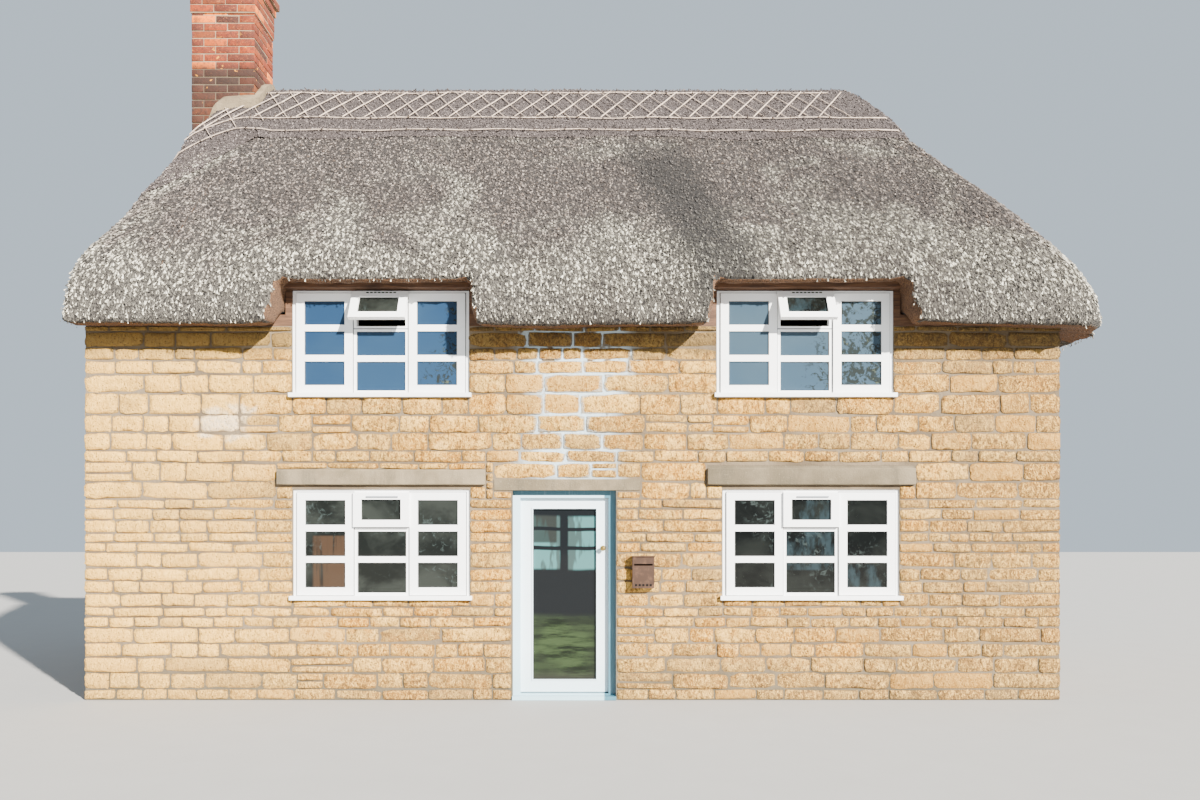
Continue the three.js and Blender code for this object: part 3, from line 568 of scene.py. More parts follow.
def timberFinish(name, dark, pale, along=(0.08, 1, 1)):
    f = Finish(name, Roughness=0.8)
    grain = f.noise(38, 6, 0.65, vector=f.place(along), distortion=0.6)
    f.tone = f.mix(f.spread(grain, 0.3, 0.72), dark, pale)
    stain = f.noise(3, 4)
    f.lay(f.spread(stain, 0.5, 0.75) * 0.4, tuple(c * 0.5 for c in dark))
    return f.done(grain, 0.5, 0.004)


def paintFinish(name, shade, worn, roughness=0.35, foot=0.0, revealShadow=None):
    f = Finish(name, Roughness=roughness)
    f.shader.inputs["Coat Weight"].default_value = 0.15
    brush = f.noise(60, 4, 0.6, vector=f.place((1, 1, 0.06)))
    dirt = f.cloud(0.56, 0.8, 7, 5, 0.7)
    x, z = f.parts("XZ")
    f.tone = f.mix(dirt * 0.25, shade, worn)
    f.lay(f.spread(brush, 0.5, 0.8) * 0.12, worn)
    if foot:
        f.lay(f.spread(z, foot, 0.0) * 0.5, worn)
    if revealShadow:
        # painted shadow: the right jamb and the head are darkened and tinted blue, deep in the reveal, where
        # its shadow falls
        side, head = revealShadow["side"], revealShadow["head"]
        shadowMask = f.math("MAXIMUM", f.spread(x, side, side + 0.012), f.spread(z, head, head + 0.008))
        f.lay(shadowMask * (1 - f.spread(brush, 0.5, 0.8) * 0.2), revealShadow["shade"])
    rough = f.spread(dirt, 0, 1) * 0.2 + roughness
    return f.done(brush, 0.12, 0.001, Roughness=rough)


def skyReflectionFinish(name, sky, shadeSky, leftEdge, rightEdge):
    # upper panes: a painted reflection of plain sky, with the dark lace of twigs growing towards the right
    f = Finish(name, Roughness=0.04, Specular_IOR_Level=0.2)
    x, z = f.parts("XZ")
    drift = f.noise(0.9, 3, vector=f.place((1, 1, 1.4)))
    f.tone = f.mix(f.spread(drift, 0.35, 0.65), sky, shadeSky)
    twigReflection = f.noise(13, 6, 0.72, distortion=1.1)
    side = f.spread(x - (z - 3.0) * 0.35, leftEdge, rightEdge)
    reflectedLace = f.spread(twigReflection + side * 0.13, 0.60, 0.66) * f.spread(side, 0.05, 0.5)
    f.lay(reflectedLace * 0.9, (0.016, 0.018, 0.014))
    leafReflection = f.cloud(0.60, 0.68, 24, 4, 0.7) * reflectedLace
    f.lay(leafReflection * 0.5, (0.11, 0.13, 0.085))
    return f.done(f.noise(2.5, 2), 0.03, 0.01)


def roomGlassFinish(name):
    # lower panes: painted shade for the dark room behind, with painted soft broken reflections
    f = Finish(name, Roughness=0.05, Specular_IOR_Level=0.2)
    x, z = f.parts("XZ")
    soft = f.noise(2.2, 4, 0.6, vector=f.place((1, 1, 1.3)), distortion=0.4)
    f.tone = f.mix(f.spread(soft, 0.38, 0.64), (0.006, 0.007, 0.006), (0.020, 0.023, 0.020))
    # painted shade: the right room is the darker one
    f.lay(f.spread(x, -0.5, 0.5) * 0.6, (0.001, 0.001, 0.001))
    # painted reflection of foliage, in patches
    leafReflection = f.noise(19, 5, 0.72, distortion=0.7)
    mass = f.cloud(0.48, 0.60, 1.7, 3)
    f.lay(f.spread(leafReflection, 0.54, 0.62) * mass * 0.7, (0.036, 0.047, 0.045))
    # a warm shape deep in the left room, a pale haze low in the right one
    warm = f.within(x, -2.43, -2.11, 0.03) * f.spread(z, 1.45, 1.43)
    warm = warm * f.cloud(0.38, 0.50, 2, 3, vector=f.place((5, 1, 0.3)))
    f.lay(warm * 0.8, (0.046, 0.027, 0.016))
    middle = f.within(x, 1.70, 2.20, 0.02) * f.spread(z, 1.13, 1.15)
    corner = f.spread(x, 2.20, 2.22) * f.spread(z, 1.20, 1.18)
    curtain = f.noise(9, 4, 0.6, vector=f.place((1, 1, 0.4)))
    haze = f.math("MAXIMUM", middle, corner) * f.spread(curtain, 0.40, 0.60)
    f.lay(haze * 0.8, (0.018, 0.029, 0.034))
    return f.done(f.noise(2.5, 2), 0.03, 0.01)


def doorGlassFinish():
    # the long pane: a painted reflection, with pale openings high up, a dark middle and a soft green lawn
    # below
    f = Finish("door_pane", Roughness=0.05, Specular_IOR_Level=0.2)
    x, z = f.parts("XZ")
    wave = f.noise(1.5, 3) * 0.06
    height = z + wave
    blades = f.cloud(0.38, 0.62, 6, 5, 0.65, vector=f.place((0.5, 1, 3.5)))
    lawnReflection = f.mix(blades, (0.006, 0.009, 0.005), (0.027, 0.042, 0.018))
    lawnReflection = f.mix(f.cloud(0.42, 0.58, 2.5, 2) * 0.6, lawnReflection, (0.012, 0.016, 0.010))
    f.tone = f.mix(f.spread(height, 0.70, 0.80), lawnReflection, (0.006, 0.007, 0.008))
    f.lay(f.spread(height, 0.30, 0.20) * 0.7, (0.022, 0.022, 0.018))
    panel = f.within(height, 1.16, 1.66, 0.03)
    bars = f.spread(f.away(x, -0.215), 0.028, 0.045)
    bars = bars * f.spread(f.away(height, 1.36), 0.012, 0.024)
    bars = bars * f.spread(f.away(height, 1.53), 0.010, 0.022)
    cloudy = f.cloud(0.40, 0.48, 4, 3, vector=f.place((2, 1, 0.5)))
    teal = f.mix(cloudy, (0.036, 0.062, 0.060), (0.058, 0.150, 0.150))
    # a dark opening high at the left, as the pale frames opposite leave it
    opening = f.spread(x, -0.27, -0.29) * f.spread(z, 1.37, 1.39)
    f.lay(panel * bars * 0.9, f.mix(opening * 0.85, teal, (0.016, 0.015, 0.013)))
    return f.done(f.noise(2.5, 2), 0.03, 0.01)


def metalFinish(name, shade, worn, metallic, roughness):
    f = Finish(name, Metallic=metallic)
    wear = f.noise(22, 5, 0.65)
    f.tone = f.mix(f.spread(wear, 0.45, 0.75), shade, worn)
    rough = wear * 0.25 + roughness
    return f.done(f.noise(180, 3), 0.15, 0.001, Roughness=rough)


def gasketAndGapShadeFinish():
    # grey gaskets round the panes, and painted shade in the gaps round the casements and under the vents
    f = Finish("grey_gasket_and_gap_shade", Roughness=0.7)
    f.tone = f.mix(f.noise(40, 3), (0.055, 0.058, 0.06), (0.12, 0.125, 0.13))
    return f.finish(Base_Color=f.tone)


def holeShadeFinish():
    # painted shade: a near-black stand-in for the inside of slots and holes
    f = Finish("painted_hole_shade", Roughness=0.9, Specular_IOR_Level=0.1)
    f.tone = f.mix(f.noise(30, 3), (0.003, 0.003, 0.003), (0.010, 0.009, 0.008))
    return f.finish(Base_Color=f.tone)


def slabFinish(name, size, joint, shades, roughness, grainTurn):
    # flags or boards laid in staggered rows
    f = Finish(name, Roughness=roughness)
    first, second, gap, stain = shades
    pattern = f.node("ShaderNodeTexBrick", {"offset": 0.41}, {
        "Vector": f.place(), "Scale": 1.0, "Mortar Size": joint,
        "Brick Width": size[0], "Row Height": size[1],
        "Color1": colour(first), "Color2": colour(second), "Mortar": colour(gap),
    })
    grain = f.noise(26, 5, 0.6, vector=f.place(grainTurn))
    f.tone = f.mix(f.spread(grain, 0.4, 0.7) * 0.45, pattern, stain)
    return f.done(grain, 0.25, 0.003)


mortar = mortarFinish()
limestone = stoneFinish()
dressedStone = lintelFinish()
brick = brickFinish()
chimneyMortar = jointFinish()
filletMortar = filletFinish()
thatch = thatchFinish()
capThatch = ridgeFinish()
strawEnds = strawEndFinish()
flakes = flakeFinish()
capFlakes = capFlakeFinish()
brownTimber = timberFinish("brown_timber", (0.045, 0.019, 0.008), (0.145, 0.068, 0.030))
whitePaint = paintFinish("white_gloss", (0.96, 0.965, 0.965), (0.70, 0.70, 0.66))
leafPaint = paintFinish("door_gloss", (0.74, 0.86, 0.92), (0.46, 0.60, 0.66), foot=0.5)
# where the reveal's painted shadow starts on the door frame, and its colour
doorRevealShadow = {"side": 0.136, "head": 1.795, "shade": (0.050, 0.155, 0.210)}
framePaint = paintFinish("frame_gloss", (0.50, 0.72, 0.82), (0.28, 0.46, 0.52), foot=0.4, revealShadow=doorRevealShadow)
leftSkyReflection = skyReflectionFinish("left_sky_reflection_panes", (0.013, 0.034, 0.074), (0.018, 0.042, 0.080), -1.55, -1.1)
rightSkyReflection = skyReflectionFinish("right_sky_reflection_panes", (0.034, 0.060, 0.088), (0.042, 0.068, 0.092), 1.75, 2.35)
roomGlass = roomGlassFinish("room_panes")
doorGlass = doorGlassFinish()
brass = metalFinish("polished_brass", (0.45, 0.30, 0.09), (0.20, 0.13, 0.05), 1.0, 0.2)
bronzePaint = metalFinish("bronze_paint", (0.043, 0.019, 0.009), (0.105, 0.050, 0.024), 0.35, 0.45)
gasketAndGapShade = gasketAndGapShadeFinish()
ventGlass = roomGlassFinish("vent_panes")
greyPlastic = paintFinish("grey_plastic", (0.26, 0.28, 0.31), (0.16, 0.17, 0.18))
holeShade = holeShadeFinish()
flagShades = ((0.22, 0.19, 0.145), (0.30, 0.26, 0.20), (0.06, 0.052, 0.04), (0.13, 0.11, 0.08))
boardShades = ((0.24, 0.125, 0.055), (0.32, 0.175, 0.085), (0.03, 0.018, 0.01), (0.12, 0.06, 0.03))
flags = slabFinish("flagstones", (0.62, 0.46), 0.012, flagShades, 0.85, (1, 1, 1))
boards = slabFinish("floor_boards", (2.6, 0.18), 0.004, boardShades, 0.6, (0.1, 1, 1))
print("finishes mixed")

# solids with a finish of their own, whatever kind their names tell
ownFinishes = {
    "upper_left_window_glass": leftSkyReflection, "upper_right_window_glass": rightSkyReflection,
    "back_upper_left_window_glass": leftSkyReflection, "back_upper_right_window_glass": rightSkyReflection,
    "door_glass": doorGlass, "door_leaf": leafPaint, "door_frame": framePaint, "door_knob": brass,
    "letter_box": bronzePaint, "ground_floor": flags, "upper_floor": boards,
    "chimney_stack": chimneyMortar, "chimney_cap": chimneyMortar, "mortar_fillet": filletMortar,
}


def dressNodes():
    for name in nodes:
        if "wall" in name:
            dress(name, mortar)
        elif "lintel" in name:
            dress(name, dressedStone)
        elif "plate" in name or "surround" in name:
            dress(name, brownTimber)
        elif name.endswith("_glass"):
            dress(name, roomGlass)
        elif "window" in name:
            dress(name, whitePaint)
    for name, material in ownFinishes.items():
        dress(name, material)


dressNodes()

# the two long lintels show less of their height: the coursing comes down over their heads
lintel = {
    "lower": {"left_window_lintel": 0.042, "right_window_lintel": 0.022},
    "buried": 0.012, "bevel": 0.006, "knock": 0.0025, "setBack": 0.002,
}


def hewLintel(name, lower):
    # a hewn face in front, and the solid's own body set back behind it
    low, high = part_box(name)
    middle = ((low.x + high.x) / 2, (low.y + frontWall + lintel["buried"]) / 2, (low.z + high.z - lower) / 2)
    size = (high.x - low.x, frontWall - low.y + lintel["buried"], high.z - low.z - lower)
    face = cube("lintel_face", middle, size)
    applyModifier(face, "BEVEL", width=lintel["bevel"], segments=2)
    pickFaces(face, lambda c, n: abs(n.y) > 0.9 or abs(n.z) > 0.9)
    bpy.ops.mesh.subdivide(number_cuts=4)
    bpy.ops.mesh.subdivide(number_cuts=2)
    bpy.ops.object.mode_set(mode="OBJECT")
    for v in face.data.vertices:
        v.co += Vector((0, 1, 1)) * noise.noise(v.co * 9) * lintel["knock"]
    body = copyNode(name, name + "_body")
    for v in body.data.vertices:
        v.co.y = max(v.co.y, frontWall + lintel["setBack"])
    piece = join([face, body], "hewn_" + name)
    smooth(piece, 35)
    finishPiece(piece, dressedStone, "lintel_stone", name)


for name, lower in lintel["lower"].items():
    hewLintel(name, lower)
print("lintels hewn")

# rubble walls: courses of stones a little proud of the mortar
rubble = {
    "courses": (0.085, 0.148), "tallBand": (1.7, 2.9), "tall": 1.22, "low": 0.97,
    "oddShare": 0.12, "odd": 1.3,
    "lengths": (0.17, 0.46), "longest": 0.62, "shortest": 0.05, "leftover": 0.14, "thinnest": 0.032,
    "pairs": 0.07, "pairFrom": 0.125, "joint": 0.0110, "proud": 0.012, "depth": 0.05, "step": (-0.004, 0.006),
    "pattern": (0.30, 0.115), "variants": 14, "corners": (0.014, 0.010), "edges": (0.004, 0.005),
    "chamfer": 0.007, "knocks": (-0.002, 0.009), "roughness": 0.0040, "heights": (0.94, 1.03),
    "drift": 0.004, "tilt": 0.028, "narrowest": 0.03, "headroom": 0.05, "tallCourse": 0.13, "longer": 1.25,
}
# the gable's slopes under the coat: half their spread, their foot, and where they would meet
gableSlope = {"half": 2.4, "foot": 3.38, "apex": 5.98}


def makeStones():
    # a few stones of unit length and height, rounded at the corners, each with its own knocks
    made = []
    length, height = rubble["pattern"]
    depth = rubble["depth"]
    for i in range(rubble["variants"]):
        stone = cube("stone", (0, 0, 0), (length, depth, height))
        editAll(stone, bpy.ops.mesh.subdivide, number_cuts=4)
        deleteFaces(stone, lambda c, n: n.y > 0.9 or (abs(n.y) < 0.5 and c.y > -depth / 4))
        dice = random.Random(40 + i)
        edge = []
        for v in stone.data.vertices:
            u, w = v.co.x / (length / 2), v.co.z / (height / 2)
            # how far out towards the edges and the corners this point is
            rim = max(abs(u), abs(w)) > 0.99
            edge.append(1.0 if rim else 0.0)
            corner = ease(0.55, 1.0, abs(u)) * ease(0.55, 1.0, abs(w))
            v.co.x -= math.copysign(corner * dice.uniform(0, rubble["corners"][0]), u)
            v.co.z -= math.copysign(corner * dice.uniform(0, rubble["corners"][1]), w)
            if abs(u) > 0.99:
                v.co.x -= math.copysign(dice.uniform(0, rubble["edges"][0]), u)
            if abs(w) > 0.99:
                v.co.z -= math.copysign(dice.uniform(0, rubble["edges"][1]), w)
            if v.co.y < -depth / 2 + 0.001:
                v.co.y += rubble["chamfer"] if rim else -dice.uniform(*rubble["knocks"])
                v.co.x += dice.uniform(-1, 1) * rubble["roughness"]
                v.co.z += dice.uniform(-1, 1) * rubble["roughness"]
        layer = stone.data.attributes.new("rim", "FLOAT", "POINT")
        layer.data.foreach_set("value", edge)
        for v in stone.data.vertices:
            v.co.x /= length
            v.co.z /= height
        made.append(stone)
    return made


def freeSpans(left, right, low, high, gaps):
    # what is left of a course between the openings, with each span's own foot and head
    cuts = sorted({left, right, *[min(max(g, left), right) for box in gaps for g in box[:2]]})
    spans = []
    for a, b in zip(cuts, cuts[1:]):
        foot, head = low, high
        for x0, x1, z0, z1 in gaps:
            if x0 < (a + b) / 2 < x1 and z1 > low and z0 < high:
                if z0 <= low and z1 >= high:
                    foot = head
                elif z0 <= low:
                    foot = max(foot, z1)
                else:
                    head = min(head, z0)
        if head - foot > rubble["narrowest"] and b > a:
            if spans and abs(spans[-1][1] - a) < 1e-6 and spans[-1][2:] == (foot, head):
                spans[-1] = (spans[-1][0], b, foot, head)
            else:
                spans.append((a, b, foot, head))
    return [span for span in spans if span[1] - span[0] > rubble["narrowest"]]


def layStone(stones, dice, place, start, stop, foot, head):
    joint = rubble["joint"]
    tall = head - foot - joint
    if tall < rubble["thinnest"] or stop - start < rubble["shortest"]:
        return []
    stone = dice.choice(stones)
    flip = dice.choice((-1, 1))
    drift = dice.uniform(-rubble["drift"], rubble["drift"])
    tall *= dice.uniform(*rubble["heights"])
    scale = Matrix.Diagonal((flip * (stop - start - joint), 1, tall, 1))
    tilt = Matrix.Rotation(dice.uniform(-rubble["tilt"], rubble["tilt"]), 4, "Y")
    sink = rubble["depth"] / 2 - rubble["proud"] + dice.uniform(*rubble["step"])
    middle = Vector(((start + stop) / 2, sink, (foot + head) / 2 + drift))
    spot = place @ Matrix.Translation(middle) @ tilt @ scale
    return [placeCopy(stone, spot, dice.random())]


def layCourses(name, width, top, gaps, place, seed, stones, edge=0.0):
    # place turns (along, height) on the wall into the wall's own plane
    dice = random.Random(seed)
    pieces = []
    z = 0.0
    while z < top(width / 2) - 0.02:
        height = dice.uniform(*rubble["courses"])
        # the tallest courses lie between the two storeys' windows
        height *= rubble["tall"] if rubble["tallBand"][0] < z < rubble["tallBand"][1] else rubble["low"]
        if dice.random() < rubble["oddShare"]:
            height *= rubble["odd"]
        # a course stops where the wall's top comes down to it
        left, right = -edge, width + edge
        room = rubble["headroom"]
        while left < right and top(left) < z + room:
            left += room
        while right > left and top(right) < z + room:
            right -= room
        for a, b, foot, head in freeSpans(left, right, z, z + height, gaps):
            x = a
            while x < b - 0.02:
                length = dice.uniform(*rubble["lengths"])
                length *= rubble["longer"] if height > rubble["tallCourse"] else 1.0
                if b - (x + length) < rubble["leftover"]:
                    length = b - x
                if length > rubble["longest"]:
                    length = length / 2
                stop = min(x + length, b)
                ceiling = min(head, top((x + stop) / 2), top(x), top(stop))
                base = foot
                if ceiling - foot > rubble["pairFrom"] and dice.random() < rubble["pairs"]:
                    # two thin stones share the course
                    base = foot + (ceiling - foot) * dice.uniform(0.4, 0.6)
                pieces += layStone(stones, dice, place, x, stop, foot, base)
                pieces += layStone(stones, dice, place, x, stop, base, ceiling)
                x = stop
        z += height
    wall = join(pieces, name)
    editAll(wall, bpy.ops.mesh.normals_make_consistent, inside=False)
    smooth(wall, 50)
    finishPiece(wall, limestone, "stone")
    print(name, len(wall.data.polygons), "faces")


def gapOf(*names, grow=0.0, flip=1, start=0.0):
    # the box round these nodes, as a stretch along the wall and its foot and head
    low = [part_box(n)[0] for n in names]
    high = [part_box(n)[1] for n in names]
    a = min(v.x for v in low)
    b = max(v.x for v in high)
    if flip < 0:
        a, b = -b, -a
    return (a - start - grow, b - start + grow, min(v.z for v in low) - grow, max(v.z for v in high) + grow)


def buildRubble():
    stones = makeStones()
    width = rightWall - leftWall
    gaps = []
    for name in ("upper_left_window", "upper_right_window"):
        # nothing but thatch above these two
        gap = gapOf(name + "_left_casement", name + "_right_casement", grow=0.03, start=leftWall)
        gaps.append((*gap[:3], 9.0))
    for name in ("lower_left_window", "lower_right_window"):
        gaps.append(gapOf(name + "_left_casement", name + "_right_casement", grow=0.035, start=leftWall))
    for name in ("left_window_lintel", "right_window_lintel", "door_lintel"):
        a, b, z0, z1 = gapOf(name, grow=0.008, start=leftWall)
        gaps.append((a, b, z0, z1 - lintel["lower"].get(name, 0)))
    gaps.append(gapOf("door_frame", grow=0.004, start=leftWall))
    flat = lambda x: wallTop
    front = Matrix.Translation((leftWall, frontWall, 0))
    layCourses("front_rubble", width, flat, gaps, front, 3, stones, rubble["proud"])

    gaps = []
    for name in nodes:
        if name.startswith("back_") and name.endswith("_frame"):
            a, b, z0, z1 = gapOf(name, flip=-1, start=-rightWall)
            gaps.append((a + 0.022, b - 0.022, z0, z1))
    for name in ("back_left_lintel", "back_right_lintel"):
        gaps.append(gapOf(name, grow=0.008, flip=-1, start=-rightWall))
    back = Matrix.Translation((rightWall, backWall, 0)) @ Matrix.Rotation(math.pi, 4, "Z")
    layCourses("back_rubble", width, flat, gaps, back, 5, stones, rubble["proud"])

    depth = backWall - frontWall
    right = Matrix.Translation((rightWall, frontWall, 0)) @ Matrix.Rotation(math.pi / 2, 4, "Z")
    layCourses("right_rubble", depth, flat, [], right, 7, stones)

    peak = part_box("left_gable_wall")[1].z
    half, foot, apex = gableSlope["half"], gableSlope["foot"], gableSlope["apex"]
    halfTop = (apex - peak) / (apex - foot) * half

    def gableTop(y):
        off = abs(y - depth / 2)
        if off <= halfTop:
            return peak
        if off >= half:
            return wallTop
        return peak + (foot - peak) * (off - halfTop) / (half - halfTop)

    left = Matrix.Translation((leftWall, backWall, 0)) @ Matrix.Rotation(-math.pi / 2, 4, "Z")
    layCourses("gable_rubble", depth, gableTop, [], left, 9, stones)
    discard(stones)


buildRubble()
print("rubble walls laid")

# thatch: the coat's four solids in one, made denser, softened and roughened
coat = {
    "voxel": 0.046, "softening": 4, "swell": 0.06, "droop": 0.042, "lump": 0.030, "shag": 0.010,
    "hoodCeiling": (3.45, 3.8), "hoodBack": -2.15, "reveal": 0.03, "peak": 6.1,
    "lumpGrain": (2.2, 2.2, 1.3), "shagGrain": (14, 14, 7),
    "hoodSpread": (0.55, -0.1), "hoodFade": (5.2, 3.75), "hoodReach": (-1.2, -2.2),
    "lipInset": (0.02, 0.14), "lipFade": (3.95, 3.72), "lipReach": (-2.5, -2.62),
    "under": (-0.5, -0.93), "cheek": (0.09, 0.72), "doorRevealShadow": (-2.1, 3.72),
}
coatNodes = ["front_thatch", "back_thatch", "right_hip_thatch", "left_end_thatch"]
surrounds = [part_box(n) for n in ("left_hood_surround", "right_hood_surround")]
hoods = [((low.x + high.x) / 2, (high.x - low.x) / 2) for low, high in surrounds]


def insideRoof(centre, normal):
    # faces that only the rooms see
    reveal = coat["reveal"]
    if abs(centre.y) > backWall - reveal or not leftWall + reveal <= centre.x <= rightWall - reveal:
        return False
    low, high = coat["hoodCeiling"]
    underHood = centre.y < coat["hoodBack"] and low < centre.z < high
    return normal.z < 0.25 and not underHood and centre.z < coat["peak"]


def grainAt(p, grain):
    # noise at this point, with its own fineness along each axis
    return noise.noise(Vector([a * b for a, b in zip(p, grain)]))


def shapeHoods(v, normal):
    # the slope swells out over each hood and into the tongue between them, and the hood's lip droops
    p = v.co.copy()
    outer, inner = coat["hoodSpread"]
    rim, full = coat["lipInset"]
    for middle, half in hoods:
        off = abs(p.x - middle)
        over = ease(half + outer, half + inner, off) * ease(*coat["hoodFade"], p.z)
        if p.y < coat["hoodReach"][0] and over > 0:
            v.co.y -= coat["swell"] * over * ease(*coat["hoodReach"], p.y)
        if p.y < coat["lipReach"][0] and p.z < coat["lipFade"][0] and off < half - rim and normal.z < 0.75:
            inside = ease(half - rim, half - full, off)
            v.co.z -= coat["droop"] * inside * ease(*coat["lipFade"], p.z) * ease(*coat["lipReach"], p.y)


def isSheltered(face):
    # the underside and the cheeks of the hoods
    middle, half = min(hoods, key=lambda hood: abs(face.center.x - hood[0]))
    away = abs(face.center.x - middle) - half
    low, level = coat["under"]
    near, upright = coat["cheek"]
    under = face.normal.z < low and (away < 0.02 or face.normal.z < level)
    cheek = abs(away) < near and abs(face.normal.x) > upright
    front, top = coat["doorRevealShadow"]
    return (under or cheek) and face.center.y < front and face.center.z < top


def softenCoat():
    piece = join([copyNode(node, node + "_skin") for node in coatNodes], "thatch_cover")
    applyModifier(piece, "REMESH", mode="VOXEL", voxel_size=coat["voxel"], adaptivity=0)
    applyModifier(piece, "SMOOTH", factor=0.6, iterations=coat["softening"])
    normals = [v.normal.copy() for v in piece.data.vertices]
    for v, normal in zip(piece.data.vertices, normals):
        p = v.co.copy()
        shapeHoods(v, normal)
        wide = noise.noise(p * 0.9 + Vector((3, 8, 1)))
        lumps = grainAt(p, coat["lumpGrain"])
        shag = grainAt(p, coat["shagGrain"])
        v.co += normal * (wide * coat["lump"] + lumps * coat["lump"] * 0.4 + shag * coat["shag"])
    deleteFaces(piece, insideRoof)
    smooth(piece, 180)
    finishPiece(piece, thatch, "thatch", *coatNodes)
    piece.data.materials.append(strawEnds)
    for face in piece.data.polygons:
        face.material_index = 1 if isSheltered(face) else 0
    print("thatch cover", len(piece.data.polygons), "faces")

    lining = join([copyNode(node, node + "_lining") for node in coatNodes], "thatch_lining")
    deleteFaces(lining, lambda c, n: not insideRoof(c, n))
    finishPiece(lining, strawEnds, "thatch", *coatNodes)
    return piece


cover = softenCoat()

# flakes of straw that stand off the coat and catch the light
tuft = {
    "length": 0.044, "width": 0.0165, "thick": 0.012, "taper": 1.3, "sink": 0.003, "swing": 0.30,
    "stand": (-0.02, 0.15), "scatter": 0.03, "sizes": (0.6, 1.3), "widths": (0.7, 1.3), "lip": 0.62,
}


def makeTuft():
    # a flat wedge: its head buried up the slope, its cut end showing below
    deselect()
    bpy.ops.mesh.primitive_cone_add(vertices=4, radius1=0.5, radius2=0, depth=1, location=(0, 0, 0))
    wedge = bpy.context.object
    wedge.name = "tuft"
    wedge.scale = (tuft["width"] * tuft["taper"], tuft["thick"] * tuft["taper"], tuft["length"])
    freeze(wedge)
    return wedge


def scatterTufts(name, base, skin, material, slot, share, size, seed, test):
    # tufts on the picked faces of the skin, laid down the slope and finer at its lip
    dice = random.Random(seed)
    shape = [v.co.copy() for v in base.data.vertices]
    sides = [tuple(f.vertices) for f in base.data.polygons]
    points, faces, tints = [], [], []
    far = tuft["scatter"]
    for face in skin.data.polygons:
        normal = face.normal
        if face.material_index or normal.z < -0.25 or not test(face.center):
            continue
        down = Vector((0, 0, -1)) + normal * normal.z
        if down.length < 0.05:
            down = Vector((0, -1 if face.center.y < 0 else 1, 0))
        down.normalize()
        side = normal.cross(down)
        lip = tuft["lip"] + (1 - tuft["lip"]) * ease(0.1, 0.5, normal.z)
        for _ in range(int(share + dice.random())):
            turn = dice.gauss(0, tuft["swing"])
            along = down * math.cos(turn) + side * math.sin(turn)
            tip = (along + normal * dice.uniform(*tuft["stand"])).normalized()
            across = normal.cross(tip).normalized()
            out = tip.cross(across)
            grow = size * lip * dice.uniform(*tuft["sizes"])
            wide = grow * dice.uniform(*tuft["widths"])
            spot = face.center + side * dice.uniform(-far, far) + down * dice.uniform(-far, far)
            spot += normal * tuft["sink"]
            start = len(points)
            for p in shape:
                points.append(spot + across * (p.x * wide) - out * (p.y * grow) - tip * (p.z * grow))
            faces += [tuple(start + i for i in corners) for corners in sides]
            tints += [dice.random()] * len(shape)
    mesh = bpy.data.meshes.new(name)
    mesh.from_pydata(points, [], faces)
    layer = mesh.attributes.new("tint", "FLOAT", "POINT")
    layer.data.foreach_set("value", tints)
    piece = newPiece(name, mesh)
    editAll(piece, bpy.ops.mesh.normals_make_consistent, inside=False)
    finishPiece(piece, material, slot)
    print(name, len(tints) // len(shape), "tufts")


wedge = makeTuft()
# each patch: tufts to a face, their size, the seed, and the faces that it covers
patches = {
    "front_left_tufts": (1.8, 1.0, 11, lambda c: c.y < -0.5 and c.x < 0),
    "front_right_tufts": (1.8, 1.0, 12, lambda c: c.y < -0.5 and c.x >= 0),
    "back_tufts": (0.66, 1.32, 13, lambda c: c.y >= -0.5),
}
for name, patch in patches.items():
    scatterTufts(name, wedge, cover, flakes, "thatch", *patch)

# the ridge cap, softened like the coat and dressed down at its edge
cap = {
    "voxel": 0.034, "softening": 1, "lump": 0.012, "shag": 0.007, "lift": 0.004,
    "lumpGrain": (2.0, 2.0, 1.5), "shagGrain": (16, 16, 5),
    "feather": 0.45, "depth": 0.72, "cover": 0.008, "stackEdge": (-3.3, -3.5), "stackY": -0.12,
    "stackReach": (0.95, 0.7),
}


def featherEdge(piece):
    # the cap's lower edge is dressed down until it dies into the coat, but not round the stack
    edge = min(v.co.z for v in piece.data.vertices if v.co.x > -3.0)
    under = BVHTree.FromObject(cover, bpy.context.evaluated_depsgraph_get())
    for v in piece.data.vertices:
        reach = (v.co.z - edge) / cap["depth"]
        byStack = ease(*cap["stackEdge"], v.co.x) * ease(*cap["stackReach"], abs(v.co.y - cap["stackY"]))
        share = max(ease(0.0, cap["feather"], reach), byStack)
        if share < 1:
            foot, normal = under.find_nearest(v.co)[:2]
            v.co = foot.lerp(v.co, share) + normal * cap["cover"] * (1 - share)


def softenCap():
    piece = copyNode("ridge_cap", "ridge_straw")
    applyModifier(piece, "REMESH", mode="VOXEL", voxel_size=cap["voxel"], adaptivity=0)
    applyModifier(piece, "SMOOTH", factor=0.5, iterations=cap["softening"])
    featherEdge(piece)
    normals = [v.normal.copy() for v in piece.data.vertices]
    for v, normal in zip(piece.data.vertices, normals):
        p = v.co.copy()
        lumps = grainAt(p, cap["lumpGrain"])
        shag = grainAt(p, cap["shagGrain"])
        v.co += normal * (lumps * cap["lump"] + shag * cap["shag"] + cap["lift"])
    deleteFaces(piece, lambda c, n: n.z < -0.3)
    smooth(piece, 180)
    finishPiece(piece, capThatch, "cap_thatch", "ridge_cap")
    print("ridge straw", len(piece.data.polygons), "faces")
    return piece


ridgeStraw = softenCap()
scatterTufts("ridge_tufts", wedge, ridgeStraw, capFlakes, "cap_thatch", 0.68, 0.78, 14, lambda c: True)
discard([wedge])
print("thatch softened")

